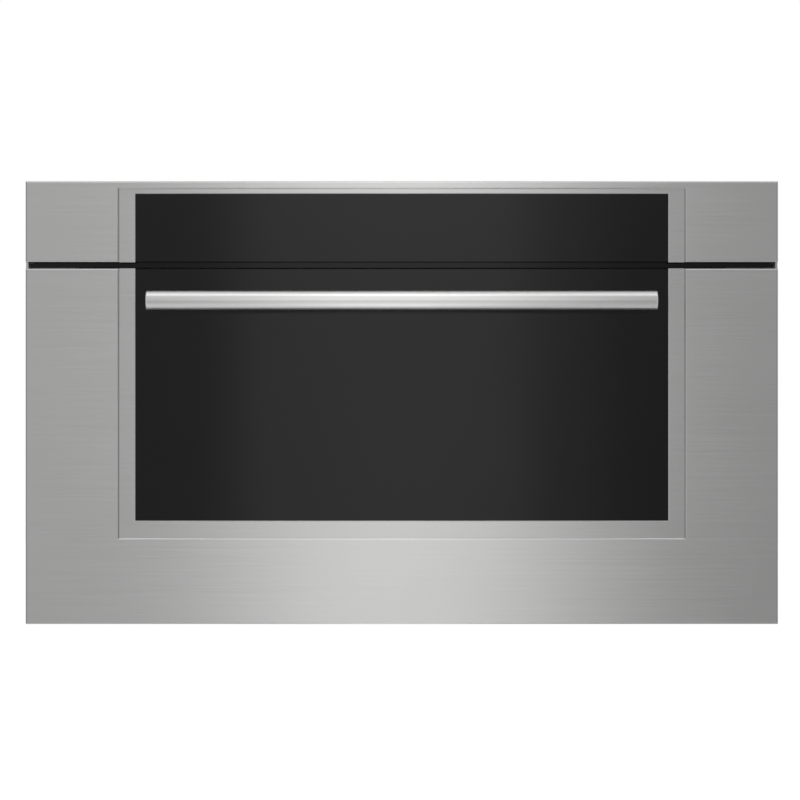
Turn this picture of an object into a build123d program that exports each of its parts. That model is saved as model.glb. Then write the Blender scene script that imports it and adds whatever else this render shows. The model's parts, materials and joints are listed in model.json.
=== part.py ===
from build123d import *
import math
import os

# A built-in microwave oven with a drop-down door, in millimetres.
# X runs to the right, Y to the back and Z up, seen from the front.
# The origin is in the middle of the width, in the plane of the cabinet's face,
# at the height of the shelf that the oven stands on.

# Front face
front_width = 759.0
door_height = 359.0
vent_gap = 6.1
fascia_height = 81.9
front_drop = 9.0
front_proud = 38.0

# Sheet metal and glass
skin = 1.2
front_bend = 1.8
full_bend = 0.98
bezel_sheet = 1.0
bezel_bevel = 0.6
near = 0.01
glass_thick = 4.0
frame_sheet = 1.2
wrap_sheet = 1.0
wrap_flange = 14.0
pan_rise = 14.0
liner_sheet = 1.0

# Recessed bezel round the black glass
cut_inset = 25.0
cut_bottom_margin = 87.0
cut_top_margin = 8.0
bezel_step = 2.0
bezel_side = 16.0
bezel_bottom = 17.4
bezel_top = 4.6
bezel_lap = 4.0
bezel_top_lap = 2.0
glass_lap = 7.0
glass_end_gap = 0.8
clamp_sheet = 1.5
clamp_fit = 1.5
clamp_end = 4.0

# Trim frame that hides the edge of the cabinet opening
trim_wall = 2.4
trim_inset = 0.3
trim_flange = 1.5
trim_rail_depth = 10.5
trim_wall_lift = 2.5
lip_clearance = 0.5
side_gap = 0.8
mount_hole_r = 2.25
mount_hole_inset = 10.2
mount_hole_low = 75.0
mount_hole_pitch = 260.0

# Chassis behind the front
chassis_inset = 69.5
chassis_height = 410.0
chassis_depth = 527.0
chassis_gap = 1.5
frame_lap = 20.0
frame_low_lap = 7.5
foot_height = 4.0
foot_r = 12.0
foot_chamfer = 1.0
foot_inset = 60.0
foot_front_y = 60.0
foot_back_y = 460.0

# Cooking cavity
cavity_side = 80.0
cavity_height = 236.0
cavity_depth = 400.0
cavity_floor = 86.0
cavity_round = 12.0

# Door body
pan_depth = 24.0
pan_flange = 10.0
back_sheet = 1.0
door_seal_gap = 0.7
plate_edge = 0.4
bumper_r = 6.0
bumper_heights = (25.0, 335.0)
bumper_inset = 9.0

# Microwave choke round the door window
choke_sheet = 1.0
choke_side = 33.0
choke_below = 31.0
choke_above = 21.0
choke_lap = 3.7
choke_fit = 0.5
choke_finger = 12.0
choke_finger_pitch = 48.0
choke_slot = 4.0
cover_thick = 1.6
cover_round = 1.2
cover_fit = 0.2
window_margin = 10.0
window_margin_tall = 15.0
screen_sheet = 0.6
inner_glass_thick = 3.0
window_ledge = 6.0

# Handle
handle_inset = 16.3
handle_dia = 18.9
handle_reach = 57.0
handle_drop = 34.2
handle_chamfer = 0.6
post_inset = 37.7
post_dia = 13.0
post_screw_r = 2.5
post_screw_depth = 14.0
post_screw_head_r = 5.5
post_screw_head = 3.5
screw_fit = 0.05

# Door hinges
hinge_inset = 13.0
hinge_y = -28.5
hinge_z = -1.0
hinge_arm = 4.0
hinge_slot_gap = 1.5
hinge_slot_rise = 18.0
hinge_eye_r = 5.7
hinge_pin_r = 3.0
hinge_fit = 0.08
link_offset = 9.0
link_pin_r = 2.0
pin_sides = 12
hex_sides = 6
through = 20.0
link_eye_r = 4.4
link_cheek = 1.4
link_gap = 0.3
link_pin_end = 0.8
link_rod_r = 2.5
link_rod_length = 168.0
link_fork_height = 14.0
link_washer_r = 4.8
link_washer = 2.0
arm_shank_rise = 12.5
arm_shank_half = 5.0
arm_notch = (12.0, 20.0)
arm_notch_depth = 4.0
arm_shank_start = -4.0
arm_shank_end = 45.0
channel_width = 14.0
channel_wall = 1.5
channel_front_gap = 0.5
channel_end = 190.0
channel_foot = 8.0
spring_seat_z = 60.0
spring_seat = 2.0
spring_wire_r = 0.6
spring_fit = 0.1
spring_mean_r = 3.8
spring_turns = 6
receiver_wall = 1.5

# Strikers on the door, and the switches that they press
striker_inset = 27.0
striker_z = 312.0
striker_width = 18.0
striker_thick = 6.0
striker_tip = 5.0
striker_nose = 3.0
striker_bevel = 1.0
striker_reach = 24.0
striker_foot = 30.0
striker_foot_thick = 2.0
slot_rise = 7.0
slot_margin = 2.0
switch_length = 27.8
switch_height = 15.9
switch_width = 10.3
switch_pitch = 10.8
plunger_r = 1.6
plunger_out = 3.2
plunger_hole = 10.0
plunger_y = 12.0
switch_front = 2.5
plunger_gap = 0.3
plunger_fit = 0.06
bracket_wall = 2.5
bracket_lip = 12.0

# Turntable
tray_gap = 50.0
tray_thick = 5.0
tray_rim = 13.0
tray_centre_y = 200.0
roller_r = 9.0
roller_width = 9.0
roller_track_r = 118.5
roller_pin_r = 2.0
roller_fit = 0.08
rolling_gap = 0.3
ring_mean_r = 105.0
ring_width = 8.0
ring_height = 6.0
shaft_r = 3.5
shaft_fit = 0.08
tray_flat_inset = 18.0
tray_lip = 3.5
tray_key_r = 24.0
tray_key_wall = 4.0
tray_key_width = 12.0
tray_key_depth = 5.0
coupler_hub_r = 9.0
coupler_reach = 18.0
coupler_arm = 6.0
coupler_lift = 2.0
floor_hole_r = 8.0
spin_motor_r = 25.0
spin_motor_height = 17.0
spin_motor_ear = 34.0
spin_ear_half = 9.0
spin_plug = 6.0
spin_ear_sheet = 1.5
spin_shaft_depth = 14.0

# Control fascia and the air grille under it
fascia_return = 12.0
housing_half = 262.0
housing_rise = 17.0
housing_wall = 2.0
housing_stud = 6.0
stud_r = 3.0
stud_x = 200.0
stud_inset = 10.0
board_half = 235.0
board_inset = 4.0
board_sheet = 1.6
relay_size = 18.0
relay_places = (-180.0, -155.0, -130.0)
relay_height = 9.4
board_can_r = 7.0
board_can_places = (130.0, 150.0)
board_can_height = 10.4
display_width = 180.0
display_height = 34.0
display_depth = 5.0
display_plug = 40.0
grille_inset = 4.0
grille_clearance = 1.2
grille_top = 371.0
grille_front = -24.0
grille_wall = 1.5
grille_lip = 2.5
grille_pitch = 92.0
grille_vane = 1.6

# Microwave source at the back
guide_depth = 42.0
guide_height = 82.0
guide_z = 250.0
guide_front_y = 180.0
guide_length = 341.0
guide_wall = 1.0
guide_mouth = 60.0
guide_mouth_y = 220.0
mica_sheet = 0.6
mica_lap = 6.0
magnetron_y = 484.0
antenna_r = 7.0
antenna_length = 27.0
antenna_base = 8.0
antenna_step = 1.5
antenna_room = 4.0
yoke_depth = 76.0
yoke_length = 84.0
yoke_height = 56.0
yoke_sheet = 2.0
anode_r = 20.0
magnet_r = 27.0
magnet_thick = 13.0
fin_count = 5
fin_pitch = 11.0
fin_sheet = 1.2
fin_height = 72.0
filter_length = 24.0
filter_inset = 8.0

# High-voltage capacitor
core_to_capacitor = 125.0
capacitor_y = 470.0
capacitor_length = 96.0
capacitor_width = 36.0
capacitor_height = 62.0
tag_pitch = 40.0
tag_r = 5.0
tag_height = 10.0

# High-voltage transformer on the base pan
core_inset = 75.0
core_y = 462.0
core_width = 100.0
core_height = 85.0
core_depth = 60.0
core_limb = 20.0
core_foot = 3.0
core_foot_lap = 6.0
core_side_share = 0.8
winding_gap = 0.5
winding_round = 12.0
winding_share = 0.42

# Cooling blower
wheel_inset = 109.0
wheel_z = 96.0
wheel_r = 45.0
wheel_width = 34.0
wheel_blades = 18
wheel_shaft_r = 3.0
blade_depth = 9.0
blade_curve = 1.8
blade_thick = 1.0
wheel_disc = 1.5
intake_r = 32.0
intake_sides = 24
scroll_depth = 46.0
scroll_wall = 2.0
scroll_start_r = 52.0
scroll_growth = 8.0
quarter_turn = 90
outlet_gap = 4.0
wheel_gap = 4.0
fan_stack_width = 58.0
fan_stack_height = 48.0
fan_stack_depth = 18.0
fan_ear = 8.0
fan_ear_r = 3.0
fan_ear_inset = 6.5
fan_bore_end = 4.0
fan_cap_r = 14.0
fan_depth = 34.0
fan_coil_width = 22.0
fan_coil_height = 34.0

# Air ways: duct on the cavity, rear intake and slots
duct_half = 142.0
duct_sheet = 1.0
intake_pitch = 8.0
intake_slot = 4.5
intake_web = 3.0
slot_count = 6
slot_width = 6.0
slot_pitch = 20.0
rear_slot_x = -130.0
rear_slot_low = 300.0
rear_slot_high = 350.0
pan_slot_x = -4.0
pan_slot_low = 430.0
pan_slot_high = 490.0
side_slot_count = 6
side_slot_width = 5.0
side_slot_pitch = 14.0
side_slot_y = 430.0
side_slot_low = 90.0
side_slot_high = 150.0
frame_vent_count = 7
frame_vent_width = 30.0
frame_vent_pitch = 38.0
frame_vent_rise = 5.0

# Cord entry
gland_inset = 55.0
gland_z = 150.0
gland_bore_r = 4.5
gland_wall = 2.5
gland_hole_r = 8.0
gland_flange_r = 11.0
gland_flange = 4.0
gland_nose = 8.0
gland_inside = 8.0

# Cavity lamp behind the left wall
lamp_y = 120.0
lamp_z = 258.0
lamp_width = 36.0
lamp_height = 28.0
lamp_depth = 34.0
lamp_sheet = 1.2
lamp_lap = 6.0
lamp_bulb_r = 9.0
lamp_bulb_length = 23.0
lamp_hole_pitch = 8.0
lamp_hole_r = 2.6
vent_x = -150.0
vent_z = 280.0

# Small fasteners and studs
stud_sides = 8
door_screw_heights = (40.0, 185.0, 330.0)
rear_screw_heights = (80.0, 300.0)
rear_screw_x = 200.0
screw_r = 1.75
screw_head_r = 3.6
screw_head = 1.8
head_bevel = 0.4
screw_reach = 3.0

# Places worked out from the sizes above
face = -front_proud
front_half = front_width / 2
chassis_half = front_half - chassis_inset
cut_half = chassis_half - cut_inset
door_low = -front_drop
door_top = door_low + door_height
fascia_low = door_top + vent_gap
front_top = fascia_low + fascia_height
cut_low = door_low + cut_bottom_margin
cut_high = front_top - cut_top_margin
view_half = cut_half - bezel_side
view_low = cut_low + bezel_bottom
view_high = cut_high - bezel_top
skin_back = face + skin
hem_back = face + 2 * skin
bezel_face = face + bezel_step
glass_face = bezel_face + bezel_sheet
glass_back = glass_face + glass_thick
trim_half = front_half - trim_inset
trim_inner = trim_half - trim_wall
trim_front = hem_back + lip_clearance
trim_top = front_top - trim_inset
trim_low = door_low + trim_inset
hinge_x = chassis_half - hinge_inset
striker_x = chassis_half - striker_inset
foot_x = chassis_half - foot_inset
core_x = -chassis_half + core_inset
capacitor_x = core_x + core_to_capacitor
gland_x = -chassis_half + gland_inset
frame_back = -trim_flange
frame_face = frame_back - frame_sheet
frame_half = chassis_half + frame_lap
frame_low = foot_height - chassis_gap - frame_low_lap
frame_high = chassis_height + frame_lap
rear_face = chassis_depth - wrap_sheet
pan_floor = foot_height + wrap_sheet
cavity_half = chassis_half - cavity_side
cavity_top = cavity_floor + cavity_height
pan_half = trim_inner - side_gap
grille_half = pan_half - grille_inset
pan_back = face + pan_depth
plate_back = pan_back + back_sheet
choke_half = cavity_half + choke_side
choke_low = cavity_floor - choke_below
choke_high = cavity_top + choke_above
cover_back = frame_face - door_seal_gap
cover_front = cover_back - cover_thick
window_half = cavity_half - window_margin
window_low = cavity_floor + window_margin_tall
window_high = cavity_top - window_margin_tall
ledge_back = pan_back + choke_sheet + choke_sheet
handle_y = face - handle_reach
handle_z = door_top - handle_drop
handle_half = view_half - handle_inset
post_x = handle_half - post_inset
link_y = hinge_y + link_offset * math.cos(math.radians(45))
link_z = hinge_z + link_offset * math.sin(math.radians(45))
link_pin_reach = hinge_arm / 2 + link_gap + link_cheek + link_pin_end
shank_z = hinge_z + arm_shank_rise
striker_low = striker_z - striker_thick / 2
switch_top = striker_low - plunger_gap - plunger_out
roller_z = cavity_floor + rolling_gap + roller_r
tray_low = roller_z + roller_r + rolling_gap
liner_half = cavity_half + liner_sheet
tray_r = cavity_half - tray_gap
guide_back = guide_front_y + guide_length
wheel_x = liner_half - wheel_inset
spin_motor_top = cavity_floor - liner_sheet
board_back = frame_face - housing_wall - housing_stud
housing_low = fascia_low + housing_rise
housing_high = view_high + bezel_top - 1
scroll_back = rear_face
scroll_front = scroll_back - scroll_depth
scroll_outlet = guide_z - fin_height / 2 - outlet_gap - wheel_z


def rect(a0, a1, b0, b1):
    """A rectangle between two limits each way."""
    return Pos((a0 + a1) / 2, (b0 + b1) / 2) * Rectangle(a1 - a0, b1 - b0)


def round_rect(a0, a1, b0, b1, radius):
    """A rectangle with rounded corners, between two limits each way."""
    return Pos((a0 + a1) / 2, (b0 + b1) / 2) * RectangleRounded(a1 - a0, b1 - b0, radius)


def along_x(sketch, x0, x1):
    """A sketch in Y and Z, pulled from x0 to x1."""
    return extrude(Plane.YZ.offset(x0) * sketch, amount=x1 - x0)


def along_y(sketch, y0, y1):
    """A sketch in X and Z, pulled from y0 to y1."""
    return extrude(Plane.XZ.offset(-y1) * sketch, amount=y1 - y0)


def along_z(sketch, z0, z1):
    """A sketch in X and Y, pulled from z0 to z1."""
    return extrude(Plane.XY.offset(z0) * sketch, amount=z1 - z0)


def pin_x(y, z, radius, x0, x1):
    """A round bar along X."""
    return along_x(Pos(y, z) * Circle(radius), x0, x1)


def pin_y(x, z, radius, y0, y1):
    """A round bar along Y."""
    return along_y(Pos(x, z) * Circle(radius), y0, y1)


def pin_z(x, y, radius, z0, z1):
    """A round bar along Z."""
    return along_z(Pos(x, y) * Circle(radius), z0, z1)


def stud_outline(x, y, radius):
    """A many-sided outline for a small round piece, inside the circle of that radius."""
    return Pos(x, y) * RegularPolygon(radius, stud_sides)


def hole_outline(x, y, radius):
    """A many-sided outline for a small round hole, outside the circle of that radius."""
    return Pos(x, y) * RegularPolygon(radius / math.cos(math.pi / stud_sides), stud_sides)


def both_sides(shape):
    """A shape and its mirror image on the other side of the oven."""
    return [shape, mirror(shape, about=Plane.YZ)]


def group(shapes):
    """Separate solids that share one node."""
    solids = []
    for shape in shapes:
        solids.extend(shape.solids())
    return Compound(children=solids)


def fuse(shapes):
    """One solid out of overlapping or touching ones."""
    result = shapes[0]
    for shape in shapes[1:]:
        result = result + shape
    return result


# Front: door skin, fascia skin, bezels and glass


def round_front(panel):
    """Bend radius on the edges of a panel's front face."""
    front = panel.faces().sort_by(Axis.Y)[0]
    return fillet(front.edges(), front_bend)


def door_skin_outline():
    """The door skin's front face, open at the top for the bezel."""
    notch = rect(-cut_half, cut_half, cut_low, door_top + 1)
    return rect(-front_half, front_half, door_low, door_top) - notch


def door_returns():
    """The folded edges behind the door skin, all round the cut-out as well."""
    outer = rect(-pan_half, pan_half, door_low, door_top)
    inner = rect(-pan_half + skin, pan_half - skin, door_low + skin, door_top - skin)
    notch = rect(-cut_half, cut_half, cut_low, door_top + 1)
    walls = along_y(outer - inner - notch, face, pan_back)
    edge = rect(-cut_half - skin, cut_half + skin, cut_low - skin, door_top) - notch
    return walls + along_y(edge, face, bezel_face)


def door_lip(side):
    """The hemmed edge that laps over the trim frame's side wall."""
    outer = rect(pan_half - skin, front_half, door_low, door_top)
    lip = along_y(outer, face, hem_back)
    return lip if side > 0 else mirror(lip, about=Plane.YZ)


def door_rear_flange():
    """Inward flange that the door's back plate is screwed to."""
    outer = rect(-pan_half, pan_half, door_low, door_top)
    inset = skin + pan_flange
    inner = rect(-pan_half + inset, pan_half - inset, door_low + inset, door_top + 1)
    hinge_room = channel_width / 2 + channel_foot + side_gap
    ring = outer - inner
    for x in (-hinge_x, hinge_x):
        ring = ring - rect(x - hinge_room, x + hinge_room, door_low - 1, door_low + inset + 1)
    flange = along_y(ring, pan_back - skin, pan_back)
    for x, z in door_screw_places():
        flange = flange - along_y(hole_outline(x, z, screw_r + screw_fit), pan_back - skin - 1, pan_back + 1)
    return flange


def hinge_bottom_slots():
    """Slots in the door's bottom edge that clear the hinge arms when it opens."""
    half = link_pin_reach + side_gap
    low = hinge_y - hinge_eye_r - side_gap
    slot = rect(hinge_x - half, hinge_x + half, low, pan_back + through)
    slot = along_z(slot, door_low - 1, door_low + skin + 1)
    return fuse(both_sides(slot))


def door_outer_panel():
    """Stainless door skin with its bends, hems and rear flange."""
    panel = along_y(door_skin_outline(), face, skin_back) + door_returns()
    panel = panel + door_lip(1) + door_lip(-1)
    panel = round_front(panel)
    panel = panel + door_rear_flange()
    return panel - hinge_bottom_slots()


def door_bezel():
    """Recessed stainless frame round the door's glass, open at the top."""
    lapped = rect(-cut_half - bezel_lap, cut_half + bezel_lap, cut_low - bezel_lap, door_top - skin)
    outer = lapped + rect(-cut_half, cut_half, cut_low, door_top)
    sheet = along_y(outer - rect(-view_half, view_half, view_low, door_top + 1), bezel_face, glass_face)
    return chamfer_view_edge(sheet, view_low)


def chamfer_view_edge(sheet, edge_z):
    """Bevel on the bezel's inner edge, which frames the glass."""
    front = sheet.faces().sort_by(Axis.Y)[0]
    edges = [e for e in front.edges() if is_view_edge(e, edge_z)]
    return chamfer(edges, bezel_bevel)


def is_view_edge(edge, edge_z):
    """True for the edges along the glass opening."""
    centre = edge.center()
    upright = abs(abs(centre.X) - view_half) < near
    level = abs(centre.Z - edge_z) < near and abs(centre.X) < 1
    return upright or level


def door_glass():
    """Black outer glass of the door, drilled for the handle screws."""
    half = view_half + glass_lap
    pane = along_y(rect(-half, half, view_low - glass_lap, door_top - glass_end_gap), glass_face, glass_back)
    for x in (-post_x, post_x):
        pane = pane - along_y(hole_outline(x, handle_z, post_screw_r + 1), glass_face - 1, glass_back + 1)
    return pane


def glass_retainers():
    """Folded strips that clamp the door glass against the bezel."""
    foot = glass_face
    sheet = clamp_sheet
    inner = view_half + clamp_fit
    riser = view_half + glass_lap + clamp_fit
    outer = cut_half
    profile = Polyline(
        (inner, glass_back), (riser, glass_back), (riser, foot), (outer, foot), (outer, foot + sheet),
        (riser + sheet, foot + sheet), (riser + sheet, glass_back + sheet), (inner, glass_back + sheet),
        close=True)
    strip = along_z(make_face(profile), view_low, door_top - clamp_end)
    low_inner = view_low - clamp_fit
    low_riser = view_low - glass_lap - clamp_fit
    low_outer = cut_low - 1
    low_profile = Polyline(
        (glass_back, low_inner), (glass_back, low_riser), (foot, low_riser), (foot, low_outer),
        (foot + sheet, low_outer), (foot + sheet, low_riser - sheet),
        (glass_back + sheet, low_riser - sheet), (glass_back + sheet, low_inner), close=True)
    bottom = along_x(make_face(low_profile), -view_half + 2 * clamp_end, view_half - 2 * clamp_end)
    return group(both_sides(strip) + [bottom])


# Door body behind the glass


def door_screw_places():
    """Screws that hold the back plate to the skin's rear flange."""
    x = pan_half - skin - pan_flange / 2
    return [(side * x, z) for side in (-1, 1) for z in door_screw_heights]


def hinge_slot_half():
    """Half the width of the back plate's hinge slots."""
    return hinge_arm / 2 + hinge_slot_gap


def door_back_plate():
    """Steel plate that closes the back of the door round the choke."""
    edge = plate_edge
    sheet = rect(-pan_half + edge, pan_half - edge, door_low + edge, door_top - edge)
    hole = choke_outline(choke_fit)
    half = hinge_slot_half()
    for x in (-hinge_x, hinge_x):
        sheet = sheet - rect(x - half, x + half, door_low - 1, hinge_z + hinge_slot_rise)
    plate = along_y(sheet - hole, pan_back, plate_back)
    for x, z in door_screw_places():
        plate = plate - along_y(hole_outline(x, z, screw_r + screw_fit), pan_back - 1, plate_back + 1)
    return plate


def choke_outline(grow):
    """The choke's outer rectangle, made larger by grow."""
    return rect(-choke_half - grow, choke_half + grow, choke_low - grow, choke_high + grow)


def window_outline(grow):
    """The window's rectangle, made larger by grow."""
    return rect(-window_half - grow, window_half + grow, window_low - grow, window_high + grow)


def choke_fingers():
    """Slotted fingers that turn in over the choke channel."""
    strip = choke_outline(0) - choke_outline(-choke_finger)
    slots = []
    count = int(2 * (choke_half - choke_finger) / choke_finger_pitch)
    for i in range(count + 1):
        x = (i - count / 2) * choke_finger_pitch
        slots.append(rect(x, x + choke_slot, choke_low + choke_sheet, choke_low + choke_finger + 1))
        slots.append(rect(x, x + choke_slot, choke_high - choke_finger - 1, choke_high - choke_sheet))
    count = int((choke_high - choke_low - 3 * choke_finger) / choke_finger_pitch)
    middle = (choke_high + choke_low) / 2
    for i in range(count + 1):
        z = middle + (i - count / 2) * choke_finger_pitch
        slots.append(rect(-choke_half + choke_sheet, -choke_half + choke_finger + 1, z, z + choke_slot))
        slots.append(rect(choke_half - choke_finger - 1, choke_half - choke_sheet, z, z + choke_slot))
    strip = strip - Sketch(children=[face for slot in slots for face in slot.faces()])
    return along_y(strip, cover_front - choke_sheet, cover_front)


def choke_frame():
    """Pressed frame with the choke channel round the window."""
    floor_front = pan_back - choke_sheet
    flange = along_y(choke_outline(choke_lap) - window_outline(0), floor_front, pan_back)
    outer = along_y(choke_outline(0) - choke_outline(-choke_sheet), pan_back, cover_front)
    inner = along_y(window_outline(choke_sheet) - window_outline(0), pan_back, cover_front)
    ledge = along_y(window_outline(0) - window_outline(-window_ledge), ledge_back - choke_sheet, ledge_back)
    return fuse([flange, outer, inner, ledge, choke_fingers()])


def choke_cover():
    """Plastic cover over the choke, with a lip that holds the inner glass."""
    outer = choke_outline(cover_fit + cover_thick)
    opening = window_outline(-cover_thick - cover_fit - 1)
    plate = along_y(outer - opening, cover_front, cover_back)
    plate = fillet(plate.faces().sort_by(Axis.Y)[-1].outer_wire().edges(), cover_round)
    skirt = along_y(outer - choke_outline(cover_fit), plate_back, cover_front)
    lip_front = ledge_back + screen_sheet + inner_glass_thick
    lip = along_y(window_outline(-cover_fit - 1) - opening, lip_front, cover_front)
    return fuse([plate, skirt, lip])


def door_screen():
    """Metal sheet in the window that keeps the microwaves in."""
    return along_y(window_outline(-cover_fit), ledge_back, ledge_back + screen_sheet)


def door_inner_glass():
    """Clear pane on the oven side of the window."""
    start = ledge_back + screen_sheet
    return along_y(window_outline(-cover_fit), start, start + inner_glass_thick)


def door_bumpers():
    """Rubber stops between the closed door and the front frame."""
    x = frame_half - bumper_inset
    stops = []
    for z in bumper_heights:
        stops.extend(both_sides(along_y(stud_outline(x, z, bumper_r), plate_back, frame_face - screw_fit)))
    return group(stops)


def screw(x, z, seat, head_depth, reach):
    """A pan-head screw along Y, with its head behind the seat."""
    head = along_y(stud_outline(x, z, screw_head_r), seat, seat + head_depth)
    head = chamfer(head.faces().sort_by(Axis.Y)[-1].edges(), head_depth * head_bevel)
    return head + along_y(stud_outline(x, z, screw_r), seat - reach, seat)


def door_screws():
    """Pan-head screws in the door's back plate."""
    return group([screw(x, z, plate_back, screw_head, screw_reach) for x, z in door_screw_places()])


# Handle


def handle_bar():
    """Round stainless bar with square-cut ends."""
    bar = pin_x(handle_y, handle_z, handle_dia / 2, -handle_half, handle_half)
    ends = bar.edges().filter_by(GeomType.CIRCLE)
    return chamfer(ends, handle_chamfer)


def handle_posts():
    """Two posts from the glass to the bar, each shaped to the bar and drilled for a screw."""
    post = pin_y(post_x, handle_z, post_dia / 2, handle_y, glass_face)
    post = post - pin_x(handle_y, handle_z, handle_dia / 2, 0, handle_half)
    drill = hole_outline(post_x, handle_z, post_screw_r + screw_fit)
    return group(both_sides(post - along_y(drill, glass_face - post_screw_depth, glass_face + 1)))


def handle_screws():
    """Screws from behind the glass into the posts."""
    shank = stud_outline(post_x, handle_z, post_screw_r)
    head = stud_outline(post_x, handle_z, post_screw_head_r)
    screw_body = along_y(shank, glass_face - post_screw_depth + 2, glass_back)
    return group(both_sides(screw_body + along_y(head, glass_back, glass_back + post_screw_head)))


# Hinges


def hinge_arms():
    """Fixed arms that reach into the door, each with its riveted link pin."""
    eye = Pos(hinge_y, hinge_z) * Circle(hinge_eye_r)
    lobe = Pos(link_y, link_z) * Circle(link_eye_r)
    root = Pos(arm_shank_start, shank_z) * Circle(arm_shank_half)
    outline = make_hull(eye.edges() + lobe.edges() + root.edges())
    shank = rect(arm_shank_start, arm_shank_end, shank_z - arm_shank_half, shank_z + arm_shank_half)
    notch = rect(*arm_notch, shank_z + arm_shank_half - arm_notch_depth, shank_z + arm_shank_half + 1)
    profile = outline + shank - notch - Pos(hinge_y, hinge_z) * Circle(hinge_pin_r + hinge_fit)
    arm = along_x(profile, hinge_x - hinge_arm / 2, hinge_x + hinge_arm / 2)
    rivet = Pos(link_y, link_z) * RegularPolygon(link_pin_r, pin_sides)
    arm = arm + along_x(rivet, hinge_x - link_pin_reach, hinge_x + link_pin_reach)
    return group(both_sides(arm))


def hinge_receivers():
    """Channels on the base pan that hold the hinge arms."""
    half = hinge_arm / 2 + hinge_fit
    low = shank_z - arm_shank_half
    high = shank_z + arm_shank_half
    outer = rect(hinge_x - half - receiver_wall, hinge_x + half + receiver_wall, pan_floor, high)
    inner = rect(hinge_x - half, hinge_x + half, low, high + 1)
    return group(both_sides(along_y(outer - inner, 2, arm_shank_end)))


def hinge_channel():
    """One channel in the door, with the pivot pin and the spring's seat."""
    half = channel_width / 2
    front = skin_back + channel_front_gap
    room_half = half - channel_wall
    foot_half = half + channel_foot
    outer = rect(hinge_x - half, hinge_x + half, front, pan_back)
    inner = rect(hinge_x - room_half, hinge_x + room_half, front + channel_wall, pan_back + 1)
    feet = rect(hinge_x - foot_half, hinge_x + foot_half, pan_back - channel_wall, pan_back)
    section = outer + feet - inner
    low = door_low + skin + side_gap
    channel = along_z(section, low, channel_end)
    seat = along_z(inner, spring_seat_z - spring_seat, spring_seat_z) & along_z(outer, low, channel_end)
    room = link_rod_r + 0.5
    shift = link_offset + hinge_y
    slot = rect(hinge_x - room, hinge_x + room, link_y - room, shift + room)
    seat = seat - along_z(slot, spring_seat_z - spring_seat - 1, spring_seat_z + 1)
    pin = pin_x(hinge_y, hinge_z, hinge_pin_r, hinge_x - room_half, hinge_x + room_half)
    return fuse([channel, seat, pin])


def hinge_channels():
    """The two hinge channels."""
    return group(both_sides(hinge_channel()))


def hinge_link():
    """Fork and rod that pull the spring down as the door opens."""
    inner = hinge_arm / 2 + link_gap
    outer = inner + link_cheek
    top = link_z + link_fork_height
    half = link_rod_r + 0.5
    eye = Pos(link_y, link_z) * RegularPolygon(link_eye_r, pin_sides)
    hole_r = (link_pin_r + hinge_fit) / math.cos(math.pi / pin_sides)
    cheek = eye + rect(link_y - half, link_y + half, link_z, top)
    cheek = cheek - Pos(link_y, link_z) * RegularPolygon(hole_r, pin_sides)
    fork = along_x(cheek, hinge_x - outer, hinge_x - inner)
    fork = fork + along_x(cheek, hinge_x + inner, hinge_x + outer)
    bridge = along_x(rect(link_y - half, link_y + half, top - 3, top), hinge_x - outer, hinge_x + outer)
    rod = along_z(stud_outline(hinge_x, link_y, link_rod_r), top - 1, link_rod_length + link_washer)
    washer = stud_outline(hinge_x, link_y, link_washer_r)
    washer = along_z(washer, link_rod_length, link_rod_length + link_washer)
    return fuse([fork, bridge, rod, washer])


def hinge_spring():
    """Counterbalance spring round the link rod."""
    length = link_rod_length - spring_seat_z - 2 * spring_wire_r - 2 * spring_fit
    low = spring_seat_z + spring_wire_r + spring_fit
    pitch = length / spring_turns
    path = Pos(hinge_x, link_y, low) * Helix(pitch=pitch, height=length, radius=spring_mean_r)
    start = Plane(origin=path @ 0, z_dir=path % 0)
    return sweep(start * RegularPolygon(spring_wire_r, 3), path=path, is_frenet=True)


def hinge_springs():
    """The two hinge springs."""
    return group(both_sides(hinge_spring()))


# Strikers, interlock brackets, switches


def door_striker():
    """Steel tongue that enters the front frame and presses the switches."""
    half = striker_width / 2
    low = striker_z - striker_thick / 2
    high = striker_z + striker_thick / 2
    tip = striker_reach - striker_tip
    nose = high - striker_nose
    profile = Polyline(
        (plate_back, low), (tip, low), (striker_reach, nose), (striker_reach, high - striker_bevel),
        (striker_reach - striker_bevel, high), (plate_back, high), close=True)
    tongue = along_x(make_face(profile), striker_x - half, striker_x + half)
    window = rect(striker_x - half / 2, striker_x + half / 2, 2, striker_reach / 2)
    window = along_z(window, low - 1, high + 1)
    foot = Pos(striker_x, striker_z) * Rectangle(striker_width, striker_foot)
    return tongue - window + along_y(foot, plate_back, plate_back + striker_foot_thick)


def door_strikers():
    """The two strikers."""
    return group(both_sides(door_striker()))


def switch_places():
    """Centres of the microswitches across the width: two on the right, one on the left."""
    return [striker_x - switch_pitch / 2, striker_x + switch_pitch / 2, -striker_x + switch_pitch / 2]


def door_switches():
    """Microswitch bodies with their plunger holes."""
    switches = []
    for x in switch_places():
        side = rect(switch_front, switch_front + switch_length, switch_top - switch_height, switch_top)
        body = along_x(side, x - switch_width / 2, x + switch_width / 2)
        hole = hole_outline(x, plunger_y, plunger_r + plunger_fit)
        switches.append(body - along_z(hole, switch_top - plunger_hole, switch_top + 1))
    return group(switches)


def switch_plunger(index):
    """One switch plunger, held down by the closed door."""
    stem = stud_outline(switch_places()[index], plunger_y, plunger_r)
    return along_z(stem, switch_top - plunger_hole + 1, switch_top + plunger_out)


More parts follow.
